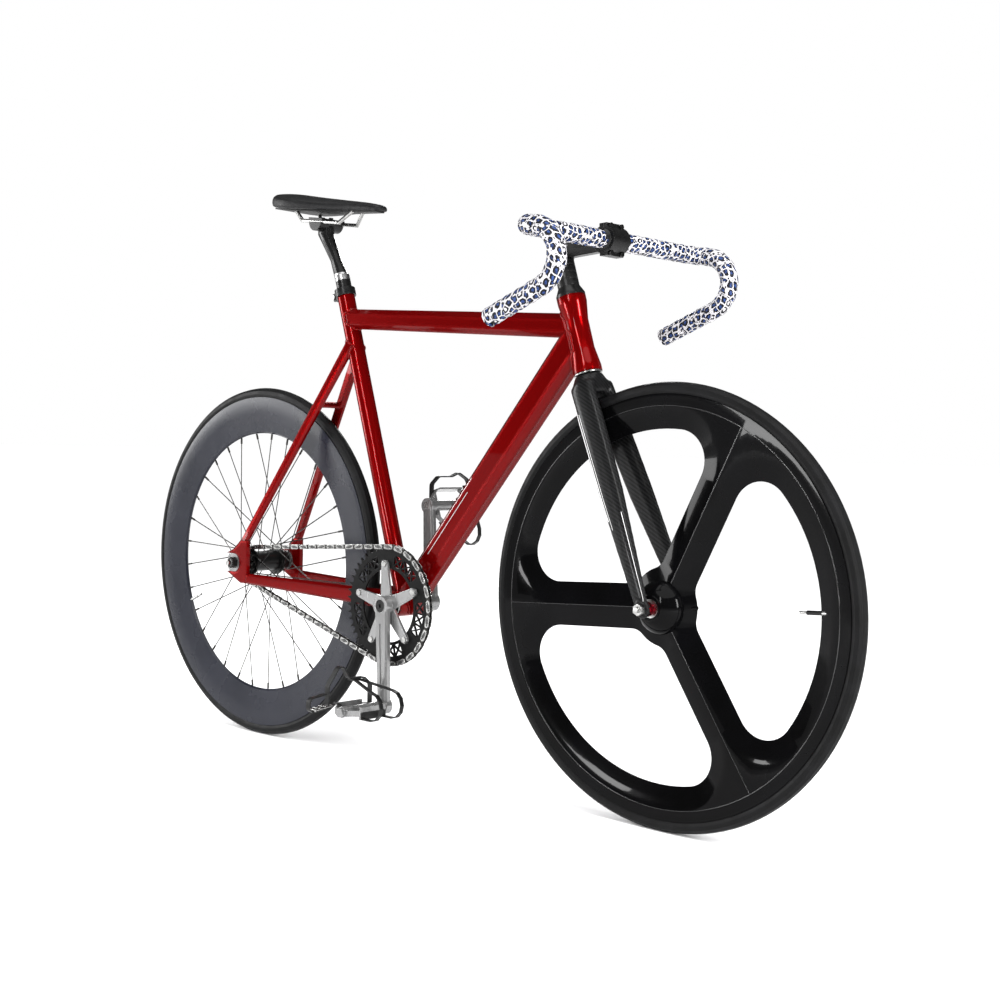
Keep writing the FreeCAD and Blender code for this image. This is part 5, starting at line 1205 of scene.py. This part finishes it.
def camera():
    azimuth, elevation, roll = map(math.radians, CAMERA_ANGLES)
    level = Vector((math.cos(azimuth), math.sin(azimuth), 0.0))
    back = Vector((math.sin(azimuth), -math.cos(azimuth), 0.0)) * math.cos(elevation) + UP * math.sin(elevation)
    upright = back.cross(level)
    right = level * math.cos(roll) + upright * math.sin(roll)
    up = upright * math.cos(roll) - level * math.sin(roll)
    data = bpy.data.cameras.new("camera")
    data.lens = CAMERA_LENS
    data.sensor_width = CAMERA_SENSOR
    data.clip_start, data.clip_end = CAMERA_CLIP
    eye = linked("camera", data)
    matrix = Matrix((right, up, back)).transposed().to_4x4()
    matrix.translation = CAMERA_AT
    eye.matrix_world = matrix
    bpy.context.scene.camera = eye


def lamp(name, kind, power, towards):
    data = bpy.data.lights.new(name, kind)
    data.energy = power
    thing = linked(name, data)
    thing.rotation_mode = "QUATERNION"
    thing.rotation_quaternion = Vector(towards).to_track_quat("-Z", "Y")
    return thing


def softbox(name, place, target, width, height, power):
    box = lamp(name, "AREA", power, Vector(target) - Vector(place))
    box.location = place
    box.data.shape = "RECTANGLE"
    box.data.size = width
    box.data.size_y = height


def room():
    """A room that is white to the camera and dim to everything else."""
    world = bpy.data.worlds.new("studio")
    bpy.context.scene.world = world
    world.use_nodes = True
    tree = world.node_tree
    shown = feed(tree, tree.nodes["Background"], {"Color": WHITE})
    dim = add(tree, "Background", {"Color": WHITE, "Strength": ROOM_LIGHT})
    seen = add(tree, "LightPath").outputs["Is Camera Ray"]
    put(tree, tree.nodes["World Output"].inputs["Surface"], add(tree, "MixShader", {0: seen, 1: dim, 2: shown}))


def floor():
    material, tree, shader = new_material("pale_floor")
    feed(tree, shader, {"Base Color": FLOOR_COLOUR, "Roughness": 0.9, "Specular IOR Level": 0.1})
    mesh = bpy.data.meshes.new("floor")
    places = [(x * FLOOR_HALF, y * FLOOR_HALF, 0.0) for x, y in ((-1, -1), (1, -1), (1, 1), (-1, 1))]
    mesh.from_pydata(places, [], [(0, 1, 2, 3)])
    mesh.materials.append(material)
    linked("floor", mesh)


def studio():
    room()
    lamp("ceiling", "SUN", CEILING_STRENGTH, CEILING_TOWARDS).data.angle = math.radians(CEILING_SPREAD)
    for name, values in SOFTBOXES.items():
        softbox(name, *values)
    floor()
    bpy.context.scene.view_settings.view_transform = "Standard"


def dress_frame():
    red = candy_red("candy_red")
    dress(red, "head_tube", "top_tube", "seat_tube", "bottom_bracket_shell", "chainstays", "seatstays", "dropouts")
    dress(candy_red("candy_red_lined", down_stripes), "down_tube")
    weave = carbon_weave("fork_weave", STEER_AXIS, STEER_NORMAL)
    dress(weave, "fork")
    fork_piece(weave)


def dress_wheels():
    gloss = moulded_gloss("moulded_gloss_black", specular=0.02)
    dress(gloss, "front_wheel_shell")
    hub_piece(gloss)
    edge_piece(moulded_gloss("moulded_edge_black", specular=0.5))
    slate = (0.006, 0.007, 0.012), (0.012, 0.0132, 0.021)
    rim = plastic("slate_rim", *slate, (0.25, 0.29), grain_scale=700.0, grain=0.06, grain_detail=2.0,
                  shade=(6.0, 6.0), end=0.75, rough_scale=12.0)
    dress(rim, "rear_rim")
    dress(tyre_rubber(), "front_tyre", "rear_tyre")


def dress_metal():
    """Dresses all metal parts and returns the bright steel."""
    low, high = grey(0.003), grey(0.006)
    black = metal("anodised_black", low, high, (0.26, 0.38), grain=0.05, metallic=0.0, specular=0.2)
    dress(black, "headset_top_cover", "headset_spacers", "stem", "stem_faceplate", "top_cap", "rear_hub_shell",
          "handlebar", "saddle_clamp", "rear_axle_nuts", "stem_bolts", "crank_bolts")
    valve_piece(black)
    ring = metal("ring_black", low, high, (0.3, 0.42), grain=0.05, metallic=0.0, specular=0.06)
    dress(ring, "chainring")
    post = metal("post_black", low, high, (0.24, 0.34), grain=0.05, specular=0.2, mark=post_band)
    dress(post, "seatpost")
    collar = metal("collar_black", low, high, (0.26, 0.38), grain=0.05, specular=0.2, mark=collar_bolt)
    dress(collar, "seat_collar")
    upright = (1.0, 1.0, 0.08)
    silver = metal("forged_silver", grey(0.205), grey(0.26), (0.2, 0.28), upright, grain=0.02, metallic=0.7)
    dress(silver, "crank_arm_right", "crank_arm_left", "pedal_body_right", "pedal_body_left", "dropout_inserts")
    steel = metal("bright_steel", (0.25, 0.25, 0.245), (0.42, 0.42, 0.41), (0.2, 0.34))
    dress(steel, "chain_outer_links", "front_axle", "rear_axle", "front_axle_nuts", "crown_race",
          "front_hub_bearings", "rear_hub_bearings", "headset_bearings", "bottom_bracket_bearings",
          "bottom_bracket_spindle", "pedal_axles", "saddle_rails", "front_valve", "rear_valve", "chainring_bolts")
    dark = metal("dark_steel", (0.02, 0.019, 0.018), (0.05, 0.048, 0.046), (0.3, 0.45))
    dress(dark, "chain_inner_links", "rear_cog", "cog_lockring", "rear_spokes")
    dress(metal("anodised_red", (0.32, 0.002, 0.012), (0.45, 0.004, 0.02), (0.2, 0.3)), "front_axle_cones")
    return steel


def dress_soft(steel):
    """Dresses clips, straps and their buckles, tape and saddle."""
    clip = plastic("clip_black", grey(0.003), grey(0.006), (0.3, 0.42), grain_scale=500.0, grain=0.08)
    dress(clip, "toe_clip_right", "toe_clip_left")
    shell = plastic("moulded_black", grey(0.004), grey(0.008), (0.5, 0.62), grain_scale=900.0, grain=0.15)
    dress(shell, "saddle_shell")
    strap = leather("strap_hide", grey(0.004), grey(0.008), (0.42, 0.54), cell=0.0011, grain=0.2)
    dress(strap, "toe_strap_right", "toe_strap_left")
    for side in (-1, 1):
        strap_piece(side, strap)
        buckle_piece(side, steel)
    dress(leopard("leopard_plug", None), "bar_end_plugs")
    tape = leopard("leopard_tape", "tape_place")
    for side in (1, -1):
        tape_piece(side, tape)
    hide = (0.003, 0.003, 0.0034), (0.0065, 0.0065, 0.007)
    saddle_piece(leather("saddle_hide", *hide, (0.46, 0.58), cell=0.0009, grain=0.16))


def main():
    camera()
    studio()
    shade_nodes()
    dress_frame()
    dress_wheels()
    dress_soft(dress_metal())
    weld_piece(candy_red("candy_red_weld", specular=0.6, edge=WELD_RED_EDGE))
    chain_pins(metal("plate_steel", grey(0.05), grey(0.1), (0.25, 0.38)))


main()
